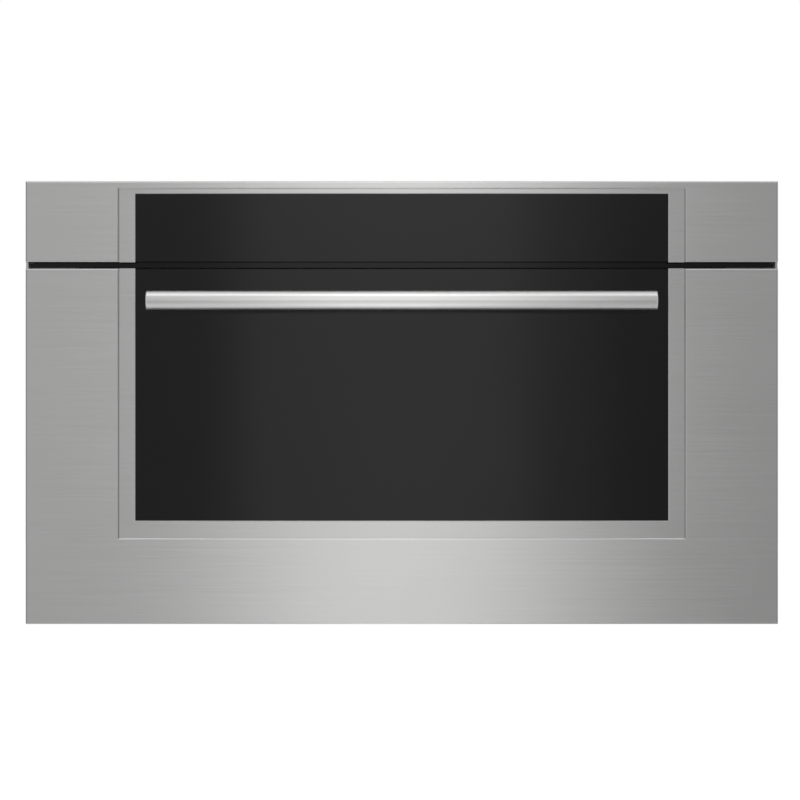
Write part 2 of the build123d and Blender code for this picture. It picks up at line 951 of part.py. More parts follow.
def interlock_bracket():
    """Plastic carrier on the front frame that holds the switches under the striker."""
    half = striker_width / 2 + slot_margin
    wide = half + bracket_wall + 3
    low = switch_top - switch_height - bracket_wall
    high = striker_z + striker_thick / 2 + slot_rise + bracket_wall
    depth = switch_front + switch_length + bracket_wall
    back = along_y(rect(striker_x - wide, striker_x + wide, low, high), frame_back, switch_front)
    room = rect(striker_x - half, striker_x + half, striker_low - slot_margin, high - bracket_wall)
    shelf = along_y(rect(striker_x - wide, striker_x + wide, low, low + bracket_wall), switch_front, depth)
    corners = [(switch_front, low), (depth, low), (depth, low + bracket_lip), (switch_front, high)]
    cheek = make_face(Polyline(*corners, close=True))
    left = along_x(cheek, striker_x - wide, striker_x - wide + bracket_wall)
    right = along_x(cheek, striker_x + wide - bracket_wall, striker_x + wide)
    return fuse([back, shelf, left, right]) - along_y(room, frame_back - 1, plunger_y)


def interlock_brackets():
    """The two switch carriers."""
    return group(both_sides(interlock_bracket()))


# Frames and chassis


def trim_frame():
    """Frame on the cabinet's face, with side and top walls that close the front's edges."""
    outer = rect(-trim_half, trim_half, trim_low, trim_top)
    gap_half = chassis_half + chassis_gap
    hole = rect(-gap_half, gap_half, foot_height - chassis_gap, chassis_height + chassis_gap)
    flange = along_y(outer - hole, -trim_flange, 0)
    wall_low = hinge_z + trim_wall_lift
    room = rect(-trim_inner, trim_inner, wall_low, trim_top - trim_wall)
    walls = along_y(rect(-trim_half, trim_half, wall_low, trim_top) - room, trim_front, 0)
    rail = along_y(rect(-trim_inner, trim_inner, trim_low, trim_low + trim_wall), -trim_rail_depth, 0)
    frame = fuse([flange, walls, rail])
    for x, z in mount_hole_places():
        frame = frame - pin_y(x, z, mount_hole_r, -trim_flange - 1, 1)
    return frame


def mount_hole_places():
    """Screw holes that fix the trim frame to the cabinet."""
    x = trim_half - mount_hole_inset
    return [(side * x, z) for side in (-1, 1) for z in (mount_hole_low, mount_hole_low + mount_hole_pitch)]


def mouth_outline(grow):
    """The cavity's rounded mouth, made larger by grow."""
    return round_rect(
        -cavity_half - grow, cavity_half + grow, cavity_floor - grow, cavity_top + grow, cavity_round + grow)


def front_frame():
    """Pressed plate round the cavity's mouth that the door closes on."""
    plate = rect(-frame_half, frame_half, frame_low, frame_high) - mouth_outline(0)
    arm_half = hinge_arm / 2 + 1
    arm_low = shank_z - arm_shank_half - 1
    arm_high = shank_z + arm_shank_half + 2
    slot_half = striker_width / 2 + slot_margin
    slot_high = striker_low + striker_thick + slot_rise
    for side in (-1, 1):
        arm_x = side * hinge_x
        slot_x = side * striker_x
        plate = plate - rect(arm_x - arm_half, arm_x + arm_half, arm_low, arm_high)
        plate = plate - rect(slot_x - slot_half, slot_x + slot_half, striker_low - slot_margin, slot_high)
    vent_half = frame_vent_width / 2
    vent_low = door_top + grille_clearance + grille_wall + frame_vent_rise
    for i in range(frame_vent_count):
        x = (i - (frame_vent_count - 1) / 2) * frame_vent_pitch
        plate = plate - rect(x - vent_half, x + vent_half, vent_low, grille_top - grille_wall)
    return along_y(plate, frame_face, frame_back)


def cavity_block(grow):
    """The cavity's rounded space, made larger by grow."""
    return along_y(mouth_outline(grow), frame_back, cavity_depth + grow)


def guide_window():
    """Outline in Y and Z of the opening between the waveguide and the cavity."""
    half = guide_mouth / 2
    return rect(guide_mouth_y - half, guide_mouth_y + half, guide_z - half, guide_z + half)


def cavity_liner():
    """Oven box with its lamp holes, waveguide window and turntable hole."""
    liner = cavity_block(liner_sheet) - cavity_block(0)
    liner = liner - pin_z(0, tray_centre_y, floor_hole_r, cavity_floor - through, cavity_floor + through)
    liner = liner - along_x(guide_window(), cavity_half - through, cavity_half + through)
    return liner - lamp_holes() - rear_vent_holes()


def hex_grid(columns, rows, pitch, radius):
    """Staggered pattern of hexagonal holes about the origin."""
    holes = []
    for row in range(rows):
        for column in range(columns):
            a = (column - columns / 2 + 1 / 4 + (row % 2) / 2) * pitch
            b = (row - (rows - 1) / 2) * pitch * math.sin(math.radians(60))
            holes.extend((Pos(a, b) * RegularPolygon(radius, hex_sides)).faces())
    return Sketch(children=holes)


def lamp_holes():
    """Perforations in the left wall for the cavity lamp."""
    holes = Pos(lamp_y, lamp_z) * hex_grid(3, 2, lamp_hole_pitch, lamp_hole_r)
    return along_x(holes, -cavity_half - through, -cavity_half + through)


def rear_vent_holes():
    """Perforations in the cavity's back for the air outlet."""
    holes = Pos(vent_x, vent_z) * hex_grid(4, 2, lamp_hole_pitch, lamp_hole_r)
    return along_y(holes, cavity_depth - through, cavity_depth + through)


def outer_wrap():
    """Folded cover over the top and both sides, with slots at the back."""
    outer = rect(-chassis_half, chassis_half, foot_height, chassis_height)
    half = chassis_half - wrap_sheet
    inner = rect(-half, half, foot_height - 1, chassis_height - wrap_sheet)
    wrap = along_y(outer - inner, frame_back, rear_face)
    bends = wrap.edges().filter_by(Axis.Y).filter_by(lambda e: e.center().Z > chassis_height - near)
    wrap = fillet(bends, wrap_sheet * full_bend)
    flange = along_y(outer - offset(outer, amount=-wrap_flange), rear_face - wrap_sheet, rear_face)
    low_cut = rect(-chassis_half, chassis_half, foot_height, pan_floor + pan_rise + side_gap)
    wrap = wrap + (flange - along_y(low_cut, rear_face - 5, rear_face + 5))
    for i in range(side_slot_count):
        start = side_slot_y + i * side_slot_pitch
        slot = rect(start, start + side_slot_width, side_slot_low, side_slot_high)
        wrap = wrap - along_x(slot, -chassis_half - through, chassis_half + through)
    for x, z in rear_screw_places():
        wrap = wrap - along_y(hole_outline(x, z, screw_r + screw_fit), rear_face - 5, chassis_depth + 1)
    return wrap


def rear_screw_places():
    """Screws that hold the rear panel to the wrap."""
    x = chassis_half - wrap_flange / 2
    top = chassis_height - wrap_flange / 2
    sides = [(side * x, z) for side in (-1, 1) for z in rear_screw_heights]
    return sides + [(-rear_screw_x, top), (rear_screw_x, top)]


def rear_panel():
    """Rear sheet with the blower's intake, outlet slots and the cord's entry."""
    sheet = rect(-chassis_half, chassis_half, foot_height, chassis_height) - intake_slots()
    for i in range(slot_count):
        start = rear_slot_x + (i - slot_count / 2) * slot_pitch
        sheet = sheet - rect(start, start + slot_width, rear_slot_low, rear_slot_high)
    sheet = sheet - Pos(gland_x, gland_z) * Circle(gland_hole_r)
    for x, z in rear_screw_places():
        sheet = sheet - hole_outline(x, z, screw_r + screw_fit)
    return along_y(sheet, rear_face, chassis_depth)


def intake_slots():
    """Level slots of the blower's intake, cut off by a circle."""
    slots = []
    reach = intake_r - intake_web
    count = int(reach / intake_pitch)
    for i in range(-count, count + 1):
        half = math.sqrt(reach ** 2 - (i * intake_pitch) ** 2)
        z = wheel_z + i * intake_pitch
        for side in (-1, 1):
            x0 = wheel_x + side * intake_web / 2
            x1 = wheel_x + side * half
            slots.append(rect(min(x0, x1), max(x0, x1), z - intake_slot / 2, z + intake_slot / 2))
    return Sketch(children=[face for slot in slots for face in slot.faces()])


def base_pan():
    """Bottom sheet with upturned sides and air slots."""
    half = chassis_half - wrap_sheet
    section = rect(-half, half, foot_height, pan_floor + pan_rise)
    section = section - rect(-half + wrap_sheet, half - wrap_sheet, pan_floor, pan_floor + pan_rise + 1)
    pan = along_y(section, frame_back, rear_face - wrap_sheet)
    for i in range(slot_count):
        start = pan_slot_x + (i - slot_count / 2) * slot_pitch
        slot = rect(start, start + slot_width, pan_slot_low, pan_slot_high)
        pan = pan - along_z(slot, foot_height - 1, pan_floor + 1)
    return pan


def base_feet():
    """Four rubber feet."""
    outline = Pos(foot_x, foot_front_y) * RegularPolygon(foot_r, 2 * stud_sides)
    foot = chamfer(along_z(outline, 0, foot_height).faces().sort_by(Axis.Z)[0].edges(), foot_chamfer)
    back = Pos(0, foot_back_y - foot_front_y, 0) * foot
    return group(both_sides(foot) + both_sides(back))


def chassis_screws():
    """Screws in the rear panel."""
    return group([screw(x, z, chassis_depth, screw_head, screw_reach) for x, z in rear_screw_places()])


def cord_gland():
    """Strain relief in the rear panel that the mains lead leaves through."""
    seat = chassis_depth + gland_flange
    collar = stud_outline(gland_x, gland_z, gland_hole_r - screw_fit)
    nut = Pos(gland_x, gland_z) * RegularPolygon(gland_flange_r, hex_sides)
    nose = along_y(stud_outline(gland_x, gland_z, gland_flange_r - gland_wall), seat, seat + gland_nose)
    nose = chamfer(nose.faces().sort_by(Axis.Y)[-1].edges(), gland_wall / 2)
    body = along_y(collar, rear_face - gland_inside, chassis_depth) + along_y(nut, chassis_depth, seat)
    body = fuse([body, along_y(nut, rear_face - gland_flange, rear_face), nose])
    return body - pin_y(gland_x, gland_z, gland_bore_r, rear_face - through, chassis_depth + through)


# Fascia


def fascia_outline():
    """The fascia skin's front face, open at the bottom for the bezel."""
    notch = rect(-cut_half, cut_half, fascia_low - 1, cut_high)
    return rect(-front_half, front_half, fascia_low, front_top) - notch


def fascia_panel():
    """Stainless control fascia with its bends and hems."""
    return_top = trim_top - trim_wall - side_gap
    notch = rect(-cut_half, cut_half, fascia_low - 1, cut_high)
    sheet = along_y(fascia_outline(), face, skin_back)
    hem = rect(-front_half, front_half, fascia_low, front_top)
    hem = hem - rect(-pan_half + skin, pan_half - skin, fascia_low - 1, return_top - skin)
    edge = rect(-cut_half - skin, cut_half + skin, fascia_low, cut_high + skin) - notch
    bottom = rect(-pan_half, pan_half, fascia_low, fascia_low + skin) - notch
    panel = fuse([sheet, along_y(hem, face, hem_back), along_y(edge, face, bezel_face)])
    panel = round_front(panel + along_y(bottom, face, face + fascia_return))
    outer = rect(-pan_half, pan_half, fascia_low, return_top)
    inner = rect(-pan_half + skin, pan_half - skin, fascia_low - 1, return_top - skin)
    return panel + along_y(outer - inner, face + 3 * skin / 2, frame_back)


def fascia_bezel():
    """Recessed stainless frame round the control glass, open at the bottom."""
    lapped = rect(-cut_half - bezel_lap, cut_half + bezel_lap, fascia_low + skin, cut_high + bezel_top_lap)
    outer = lapped + rect(-cut_half, cut_half, fascia_low, cut_high)
    sheet = along_y(outer - rect(-view_half, view_half, fascia_low - 1, view_high), bezel_face, glass_face)
    return chamfer_view_edge(sheet, view_high)


def control_glass():
    """Black glass of the touch controls."""
    half = view_half + glass_lap
    top = view_high + bezel_top - 1
    return along_y(rect(-half, half, fascia_low + glass_end_gap, top), glass_face, glass_back)


def control_housing():
    """Plastic tray behind the control glass, with studs for the board."""
    outer = rect(-housing_half, housing_half, housing_low, housing_high)
    inner = offset(outer, amount=-housing_wall)
    tray = along_y(outer, glass_back, frame_face) - along_y(inner, glass_back - 1, frame_face - housing_wall)
    for x in (-stud_x, stud_x):
        for z in (housing_low + stud_inset, housing_high - stud_inset):
            tray = tray + along_y(stud_outline(x, z, stud_r), board_back, frame_face - housing_wall)
    return tray


def display_module():
    """Display behind the control glass, with the plug that joins it to the board."""
    middle = (housing_low + housing_high) / 2
    half = display_height / 2
    panel = rect(-display_width / 2, display_width / 2, middle - half, middle + half)
    front = along_y(panel, glass_back, glass_back + display_depth)
    plug = rect(-display_plug / 2, display_plug / 2, middle - half / 2, middle)
    return front + along_y(plug, glass_back + display_depth, board_back - board_sheet)


def control_board():
    """Circuit board with its relays and capacitors."""
    front = board_back - board_sheet
    middle = (housing_low + housing_high) / 2
    low = housing_low + housing_wall + board_inset
    high = housing_high - housing_wall - board_inset
    parts = [along_y(rect(-board_half, board_half, low, high), front, board_back)]
    relay = relay_size / 2
    for x in relay_places:
        block = rect(x - relay, x + relay, middle - relay, middle + relay)
        parts.append(along_y(block, front - relay_height, front))
    for x in board_can_places:
        parts.append(along_y(stud_outline(x, middle, board_can_r), front - board_can_height, front))
    return fuse(parts)


def vent_grille():
    """Plastic air grille behind the gap between fascia and door, with a lip that hides the inside."""
    low = door_top + grille_clearance
    outer = rect(-grille_half, grille_half, low, grille_top)
    half = grille_half - grille_wall
    inner = rect(-half, half, low + grille_wall, grille_top - grille_wall)
    count = int(grille_half / grille_pitch)
    vanes = outer - inner
    for i in range(-count, count + 1):
        centre = i * grille_pitch
        vanes = vanes + rect(centre - grille_vane / 2, centre + grille_vane / 2, low, grille_top)
    lip = rect(-half, half, low, fascia_low + grille_lip)
    lip = lip + rect(-pan_half, pan_half, low, fascia_low - side_gap)
    return along_y(vanes, grille_front, frame_face) + along_y(lip, grille_front, grille_front + grille_wall)


# Turntable


def glass_tray():
    """Glass turntable tray with a raised rim and three lugs round the coupler."""
    low = tray_low
    top = low + tray_thick
    rim = low + tray_rim
    flat = tray_r - tray_flat_inset
    profile = Polyline(
        (0, low), (flat, low), (tray_r, rim), (tray_r - tray_lip, rim), (flat - tray_lip, top), (0, top),
        close=True)
    dish = revolve(Plane.XZ * make_face(profile), axis=Axis.Z)
    half = tray_key_width / 2
    key = along_z(rect(tray_key_r - tray_key_wall, tray_key_r, -half, half), low - tray_key_depth, low)
    keys = [Rot(0, 0, 120 * i) * key for i in range(3)]
    return Pos(0, tray_centre_y, 0) * fuse([dish] + keys)


def drive_coupler():
    """Three-armed coupler on the motor's shaft."""
    arms = RegularPolygon(coupler_hub_r, pin_sides)
    for i in range(3):
        arms = arms + Rot(0, 0, 120 * i) * rect(0, coupler_reach, -coupler_arm / 2, coupler_arm / 2)
    low = cavity_floor + coupler_lift
    high = tray_low - rolling_gap
    shaft = along_z(RegularPolygon(shaft_r, pin_sides), spin_motor_top - spin_shaft_depth, low)
    return Pos(0, tray_centre_y, 0) * (along_z(arms, low, high) + shaft)


def turntable_motor():
    """Flat geared motor under the cavity's floor."""
    top = spin_motor_top
    body = along_z(RegularPolygon(spin_motor_r, 3 * stud_sides), top - spin_motor_height, top)
    ears = rect(-spin_motor_ear, spin_motor_ear, -spin_ear_half, spin_ear_half)
    body = body + along_z(ears, top - spin_ear_sheet, top)
    plug = rect(-spin_ear_half, spin_ear_half, spin_motor_r - spin_plug, spin_motor_r + spin_plug)
    body = body + along_z(plug, top - spin_motor_height + 2, top - spin_plug)
    bore_r = (shaft_r + shaft_fit) / math.cos(math.pi / pin_sides)
    body = body - along_z(RegularPolygon(bore_r, pin_sides), top - spin_shaft_depth - 1, top + 1)
    return Pos(0, tray_centre_y, 0) * body


def roller_ring():
    """Ring with three axle pins for the rollers."""
    low = roller_z - ring_height / 2
    section = Circle(ring_mean_r + ring_width / 2) - Circle(ring_mean_r - ring_width / 2)
    ring = along_z(section, low, low + ring_height)
    pins = []
    end = roller_track_r + roller_width / 2 + 2
    for i in range(3):
        pin = Pos(0, roller_z) * RegularPolygon(roller_pin_r, pin_sides)
        pins.append(Rot(0, 0, 120 * i) * along_x(pin, ring_mean_r, end))
    return Pos(0, tray_centre_y, 0) * fuse([ring] + pins)


def roller(index):
    """One roller of the turntable ring."""
    start = roller_track_r - roller_width / 2
    bore_r = (roller_pin_r + roller_fit) / math.cos(math.pi / pin_sides)
    section = Circle(roller_r) - RegularPolygon(bore_r, pin_sides)
    wheel = along_x(Pos(0, roller_z) * section, start, start + roller_width)
    return Pos(0, tray_centre_y, 0) * Rot(0, 0, 120 * index) * wheel


# Microwave source


def waveguide():
    """Rectangular duct from the magnetron to the cavity's right wall."""
    low = guide_z - guide_height / 2
    high = guide_z + guide_height / 2
    right = liner_half + guide_depth
    outer = along_y(rect(liner_half, right, low, high), guide_front_y, guide_back)
    inner = along_y(rect(liner_half + guide_wall, right - guide_wall, low + guide_wall, high - guide_wall),
                    guide_front_y + guide_wall, guide_back - guide_wall)
    duct = outer - inner - along_x(guide_window(), liner_half - through, liner_half + through)
    port = hole_outline(magnetron_y, guide_z, antenna_r + antenna_room)
    return duct - along_x(port, liner_half - through, liner_half + through)


def waveguide_cover():
    """Mica sheet inside the cavity over the waveguide's mouth."""
    half = guide_mouth / 2 + mica_lap
    sheet = rect(guide_mouth_y - half, guide_mouth_y + half, guide_z - half, guide_z + half)
    return along_x(sheet, cavity_half - mica_sheet, cavity_half)


def magnetron():
    """Magnetron: yoke, anode block with cooling fins, ring magnets, filter box and antenna."""
    x = liner_half
    y0 = magnetron_y - yoke_depth / 2
    y1 = magnetron_y + yoke_depth / 2
    left = x - yoke_length
    low = guide_z - yoke_height / 2
    high = guide_z + yoke_height / 2
    sheet = yoke_sheet
    yoke = rect(left, x, y0, y1) - rect(left + sheet, x - sheet, y0 + sheet, y1 - sheet)
    parts = [along_z(yoke, low, high)]
    axis = Pos(magnetron_y, guide_z)
    magnet = axis * RegularPolygon(magnet_r, pin_sides)
    parts.append(along_x(axis * RegularPolygon(anode_r, pin_sides), left + 1, x - 1))
    parts.append(along_x(magnet, left + 1, left + 1 + magnet_thick))
    parts.append(along_x(magnet, x - 1 - magnet_thick, x - 1))
    fin = rect(y0 + 1, y1 - 1, guide_z - fin_height / 2, guide_z + fin_height / 2)
    for i in range(fin_count):
        fin_x = x - yoke_length / 2 + (i - (fin_count - 1) / 2) * fin_pitch
        parts.append(along_x(fin, fin_x - fin_sheet / 2, fin_x + fin_sheet / 2))
    box = rect(y0 + filter_inset, y1 - filter_inset, low + 2, high - 2)
    parts.append(along_x(box, left - filter_length, left))
    base = stud_outline(magnetron_y, guide_z, antenna_r + antenna_step)
    parts.append(along_x(base, x - 1, x + antenna_base))
    parts.append(pin_x(magnetron_y, guide_z, antenna_r, x + antenna_base, x + antenna_length))
    return fuse(parts)


def transformer_core():
    """Laminated core of the high-voltage transformer, on its foot plate."""
    low = pan_floor + core_foot
    x = core_x
    frame = rect(x - core_width / 2, x + core_width / 2, low, low + core_height)
    window_z = (low + core_limb, low + core_height - core_limb)
    for side in (-1, 1):
        a = x + side * core_limb / 2
        b = x + side * (core_width / 2 - core_limb * core_side_share)
        frame = frame - rect(min(a, b), max(a, b), *window_z)
    core = along_y(frame, core_y - core_depth / 2, core_y + core_depth / 2)
    lap = core_foot_lap
    foot = rect(x - core_width / 2 - lap, x + core_width / 2 + lap, pan_floor, low)
    return core + along_y(foot, core_y - core_depth / 2 - lap, core_y + core_depth / 2 + lap)


def transformer_windings():
    """The two windings round the core's middle limb."""
    low = pan_floor + core_foot + core_limb + winding_gap
    space = core_height - 2 * core_limb - 3 * winding_gap
    outer_x = core_width / 2 - core_limb * core_side_share - winding_gap
    outer_y = core_depth / 2 + outer_x - core_limb / 2
    inner_x = core_limb / 2 + winding_gap
    inner_y = core_depth / 2 + winding_gap
    outer = rect(-outer_x, outer_x, -outer_y, outer_y)
    outer = chamfer(outer.vertices(), winding_round)
    ring = Pos(core_x, core_y) * (outer - rect(-inner_x, inner_x, -inner_y, inner_y))
    first = along_z(ring, low, low + space * winding_share)
    second = along_z(ring, low + space * winding_share + winding_gap, low + space + winding_gap)
    return group([first, second])


def hv_capacitor():
    """Oval high-voltage capacitor with its two terminals, standing on the base pan."""
    top = pan_floor + capacitor_height
    can = SlotOverall(capacitor_length, capacitor_width)
    parts = [along_z(Pos(capacitor_x, capacitor_y) * can, pan_floor, top)]
    for x in (capacitor_x - tag_pitch / 2, capacitor_x + tag_pitch / 2):
        parts.append(along_z(stud_outline(x, capacitor_y, tag_r), top, top + tag_height))
    return fuse(parts)


# Cooling


def scroll_space():
    """Air space of the blower's scroll: four quarter arcs of growing radius and a straight outlet."""
    step = scroll_growth
    centres = [(0, 0), (0, -step), (step, -step), (step, 0)]
    edges = []
    for quarter, centre in enumerate(centres):
        radius = scroll_start_r + quarter * step
        edges.append(CenterArc(centre, radius, quarter_turn * quarter, quarter_turn))
    end = scroll_start_r + 4 * step
    outlet = [(end, 0), (end, scroll_outlet), (scroll_start_r, scroll_outlet), (scroll_start_r, 0)]
    edges.append(Polyline(*outlet))
    return Pos(wheel_x, wheel_z) * make_face([e for part in edges for e in part.edges()])


def blower_housing():
    """Scroll of the blower on the rear panel, with its outlet under the magnetron's fins."""
    space = scroll_space()
    outer = offset(space, amount=scroll_wall, kind=Kind.INTERSECTION)
    inside = (scroll_front + scroll_wall, scroll_back - scroll_wall)
    shell = along_y(outer, scroll_front, scroll_back) - along_y(space, *inside)
    left = wheel_x + scroll_start_r
    end = wheel_z + scroll_outlet
    mouth = rect(left, left + 4 * scroll_growth, end - 1, end + scroll_wall + 1)
    shell = shell - along_y(mouth, *inside)
    intake = Pos(wheel_x, wheel_z) * RegularPolygon(intake_r, intake_sides)
    shell = shell - along_y(intake, scroll_back - scroll_wall - 1, scroll_back + 1)
    shaft_hole = hole_outline(wheel_x, wheel_z, wheel_shaft_r + 3)
    return shell - along_y(shaft_hole, scroll_front - 1, scroll_front + scroll_wall + 1)


def blower_motor():
    """Shaded-pole motor on the scroll's front plate."""
    back = scroll_front
    deep = back - fan_ear - fan_stack_depth
    middle = Pos(wheel_x, wheel_z)
    stack = along_y(middle * Rectangle(fan_stack_width, fan_stack_height), deep, back - fan_ear)
    cap = along_y(middle * RegularPolygon(fan_cap_r, 2 * stud_sides), back - fan_depth, back)
    bobbin = Pos(-fan_stack_width / 2 - 5, 0) * Rectangle(fan_coil_width, fan_coil_height)
    coil = along_y(middle * bobbin, deep - 3, back - fan_ear + 3)
    parts = [stack, cap, coil]
    for side in (-1, 1):
        ear_x = wheel_x + side * (fan_stack_width / 2 - fan_ear_inset)
        ear_z = wheel_z + side * (fan_stack_height / 2 - fan_ear_inset)
        parts.append(along_y(stud_outline(ear_x, ear_z, fan_ear_r), back - fan_ear, back))
    bore_start = back - fan_depth + fan_bore_end
    return fuse(parts) - pin_y(wheel_x, wheel_z, wheel_shaft_r + shaft_fit, bore_start, back + 1)


def blower_wheel():
    """Squirrel-cage wheel with forward-curved blades, on its shaft."""
    start = scroll_front + scroll_wall + wheel_gap
    end = start + wheel_width
    outline = RegularPolygon(wheel_r, 2 * wheel_blades)
    ring = outline - RegularPolygon(wheel_r - blade_depth, 2 * wheel_blades)
    disc = along_y(outline, start, start + wheel_disc)
    rim = along_y(ring, end - wheel_disc, end)
    shaft_start = scroll_front - fan_depth + fan_bore_end + 2
    shaft = along_y(Circle(wheel_shaft_r), shaft_start, start + wheel_width / 2)
    parts = [disc, rim, shaft]
    low = start + wheel_disc
    for i in range(wheel_blades):
        parts.append(along_y(Rot(0, 0, 360 / wheel_blades * i) * blade(), low, end - wheel_disc))
    return Pos(wheel_x, 0, wheel_z) * fuse(parts)


def blade():
    """Section of one curved blade at the wheel's rim."""
    inner = wheel_r - blade_depth + blade_thick
    middle = wheel_r - blade_depth / 2
    outer = wheel_r - blade_thick
    thick = blade_thick
    corners = [(inner, 0), (middle, -blade_curve), (outer, blade_curve)]
    corners += [(outer, blade_curve + thick), (middle, thick - blade_curve), (inner, thick)]
    return make_face(Polyline(*corners, close=True))


def air_duct():
    """Duct on top of the cavity that leads the cooling air to the front grille."""
    low = cavity_top + liner_sheet
    outer = rect(-duct_half, duct_half, low, grille_top + duct_sheet)
    inner = rect(-duct_half + duct_sheet, duct_half - duct_sheet, low - 1, grille_top)
    return along_y(outer - inner, frame_back, cavity_depth)


def cavity_lamp():
    """Lamp in its socket behind the perforations of the cavity's left wall."""
    x = -liner_half
    shade = Pos(lamp_y, lamp_z) * Rectangle(lamp_width, lamp_height)
    room = offset(shade, amount=-lamp_sheet)
    bracket = along_x(offset(shade, amount=lamp_lap, kind=Kind.INTERSECTION) - room, x - lamp_sheet, x)
    box = along_x(shade, x - lamp_depth, x) - along_x(room, x - lamp_depth + lamp_sheet, x + 1)
    back = x - lamp_depth + lamp_sheet
    bulb = along_x(stud_outline(lamp_y, lamp_z, lamp_bulb_r), back, back + lamp_bulb_length)
    bulb = chamfer(bulb.faces().sort_by(Axis.X)[-1].edges(), lamp_bulb_r / 3)
    return fuse([bracket, box, bulb])


NODES = {
    "trim_frame": trim_frame,
    "front_frame": front_frame,
    "outer_wrap": outer_wrap,
    "rear_panel": rear_panel,
    "base_pan": base_pan,
    "base_feet": base_feet,
    "chassis_screws": chassis_screws,
    "cord_gland": cord_gland,
    "cavity_liner": cavity_liner,
    "waveguide": waveguide,
    "waveguide_cover": waveguide_cover,
    "magnetron": magnetron,
    "transformer_core": transformer_core,
    "transformer_windings": transformer_windings,
    "hv_capacitor": hv_capacitor,
    "blower_housing": blower_housing,
    "blower_motor": blower_motor,
    "blower_wheel": blower_wheel,
    "air_duct": air_duct,
    "cavity_lamp": cavity_lamp,
    "turntable_motor": turntable_motor,
    "drive_coupler": drive_coupler,
    "glass_tray": glass_tray,
    "roller_ring": roller_ring,
    "roller_1": lambda: roller(0),
    "roller_2": lambda: roller(1),
    "roller_3": lambda: roller(2),
    "fascia_panel": fascia_panel,
    "fascia_bezel": fascia_bezel,
    "control_glass": control_glass,
    "control_housing": control_housing,
    "control_board": control_board,
    "display_module": display_module,
    "vent_grille": vent_grille,
    "interlock_brackets": interlock_brackets,
    "door_switches": door_switches,
    "switch_plunger_1": lambda: switch_plunger(0),
    "switch_plunger_2": lambda: switch_plunger(1),
    "switch_plunger_3": lambda: switch_plunger(2),
    "hinge_arms": hinge_arms,
    "hinge_receivers": hinge_receivers,
    "hinge_channels": hinge_channels,
    "hinge_link_right": hinge_link,
    "hinge_link_left": lambda: mirror(hinge_link(), about=Plane.YZ),
    "hinge_springs": hinge_springs,
    "door_outer_panel": door_outer_panel,
    "door_bezel": door_bezel,
    "door_glass": door_glass,
    "glass_retainers": glass_retainers,
    "door_back_plate": door_back_plate,
    "choke_frame": choke_frame,
    "choke_cover": choke_cover,
    "door_screen": door_screen,
    "door_inner_glass": door_inner_glass,
    "door_strikers": door_strikers,
    "door_bumpers": door_bumpers,
    "door_screws": door_screws,
    "handle_bar": handle_bar,
    "handle_posts": handle_posts,
    "handle_screws": handle_screws,
}

os.makedirs("parts", exist_ok=True)
for name, make in NODES.items():
    export_step(make(), f"parts/{name}.step")
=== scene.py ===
import json
import math

import bmesh
import bpy
from mathutils import Matrix, Vector

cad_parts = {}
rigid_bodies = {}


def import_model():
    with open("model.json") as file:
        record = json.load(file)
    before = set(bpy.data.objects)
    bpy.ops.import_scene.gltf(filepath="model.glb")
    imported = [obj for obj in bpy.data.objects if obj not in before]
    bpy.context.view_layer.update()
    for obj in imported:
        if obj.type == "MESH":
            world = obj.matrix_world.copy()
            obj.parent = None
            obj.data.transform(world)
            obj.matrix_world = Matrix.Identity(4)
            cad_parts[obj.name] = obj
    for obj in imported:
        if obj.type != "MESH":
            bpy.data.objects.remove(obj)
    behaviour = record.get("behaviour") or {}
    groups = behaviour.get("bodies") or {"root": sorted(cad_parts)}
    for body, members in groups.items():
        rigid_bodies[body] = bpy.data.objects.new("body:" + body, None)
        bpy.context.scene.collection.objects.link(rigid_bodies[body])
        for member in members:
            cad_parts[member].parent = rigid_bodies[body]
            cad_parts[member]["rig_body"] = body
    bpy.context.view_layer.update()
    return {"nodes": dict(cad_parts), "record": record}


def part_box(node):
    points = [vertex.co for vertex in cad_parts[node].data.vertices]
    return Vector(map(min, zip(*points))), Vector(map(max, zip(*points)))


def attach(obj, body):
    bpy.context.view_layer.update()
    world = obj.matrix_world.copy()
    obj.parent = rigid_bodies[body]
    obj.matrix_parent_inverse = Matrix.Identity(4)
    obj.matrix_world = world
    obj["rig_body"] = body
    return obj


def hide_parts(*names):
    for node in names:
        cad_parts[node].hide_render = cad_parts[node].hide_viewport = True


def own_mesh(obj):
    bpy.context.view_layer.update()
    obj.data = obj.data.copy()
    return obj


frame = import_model()
nodes = frame["nodes"]
scene = bpy.context.scene
scene.view_settings.view_transform = "Standard"


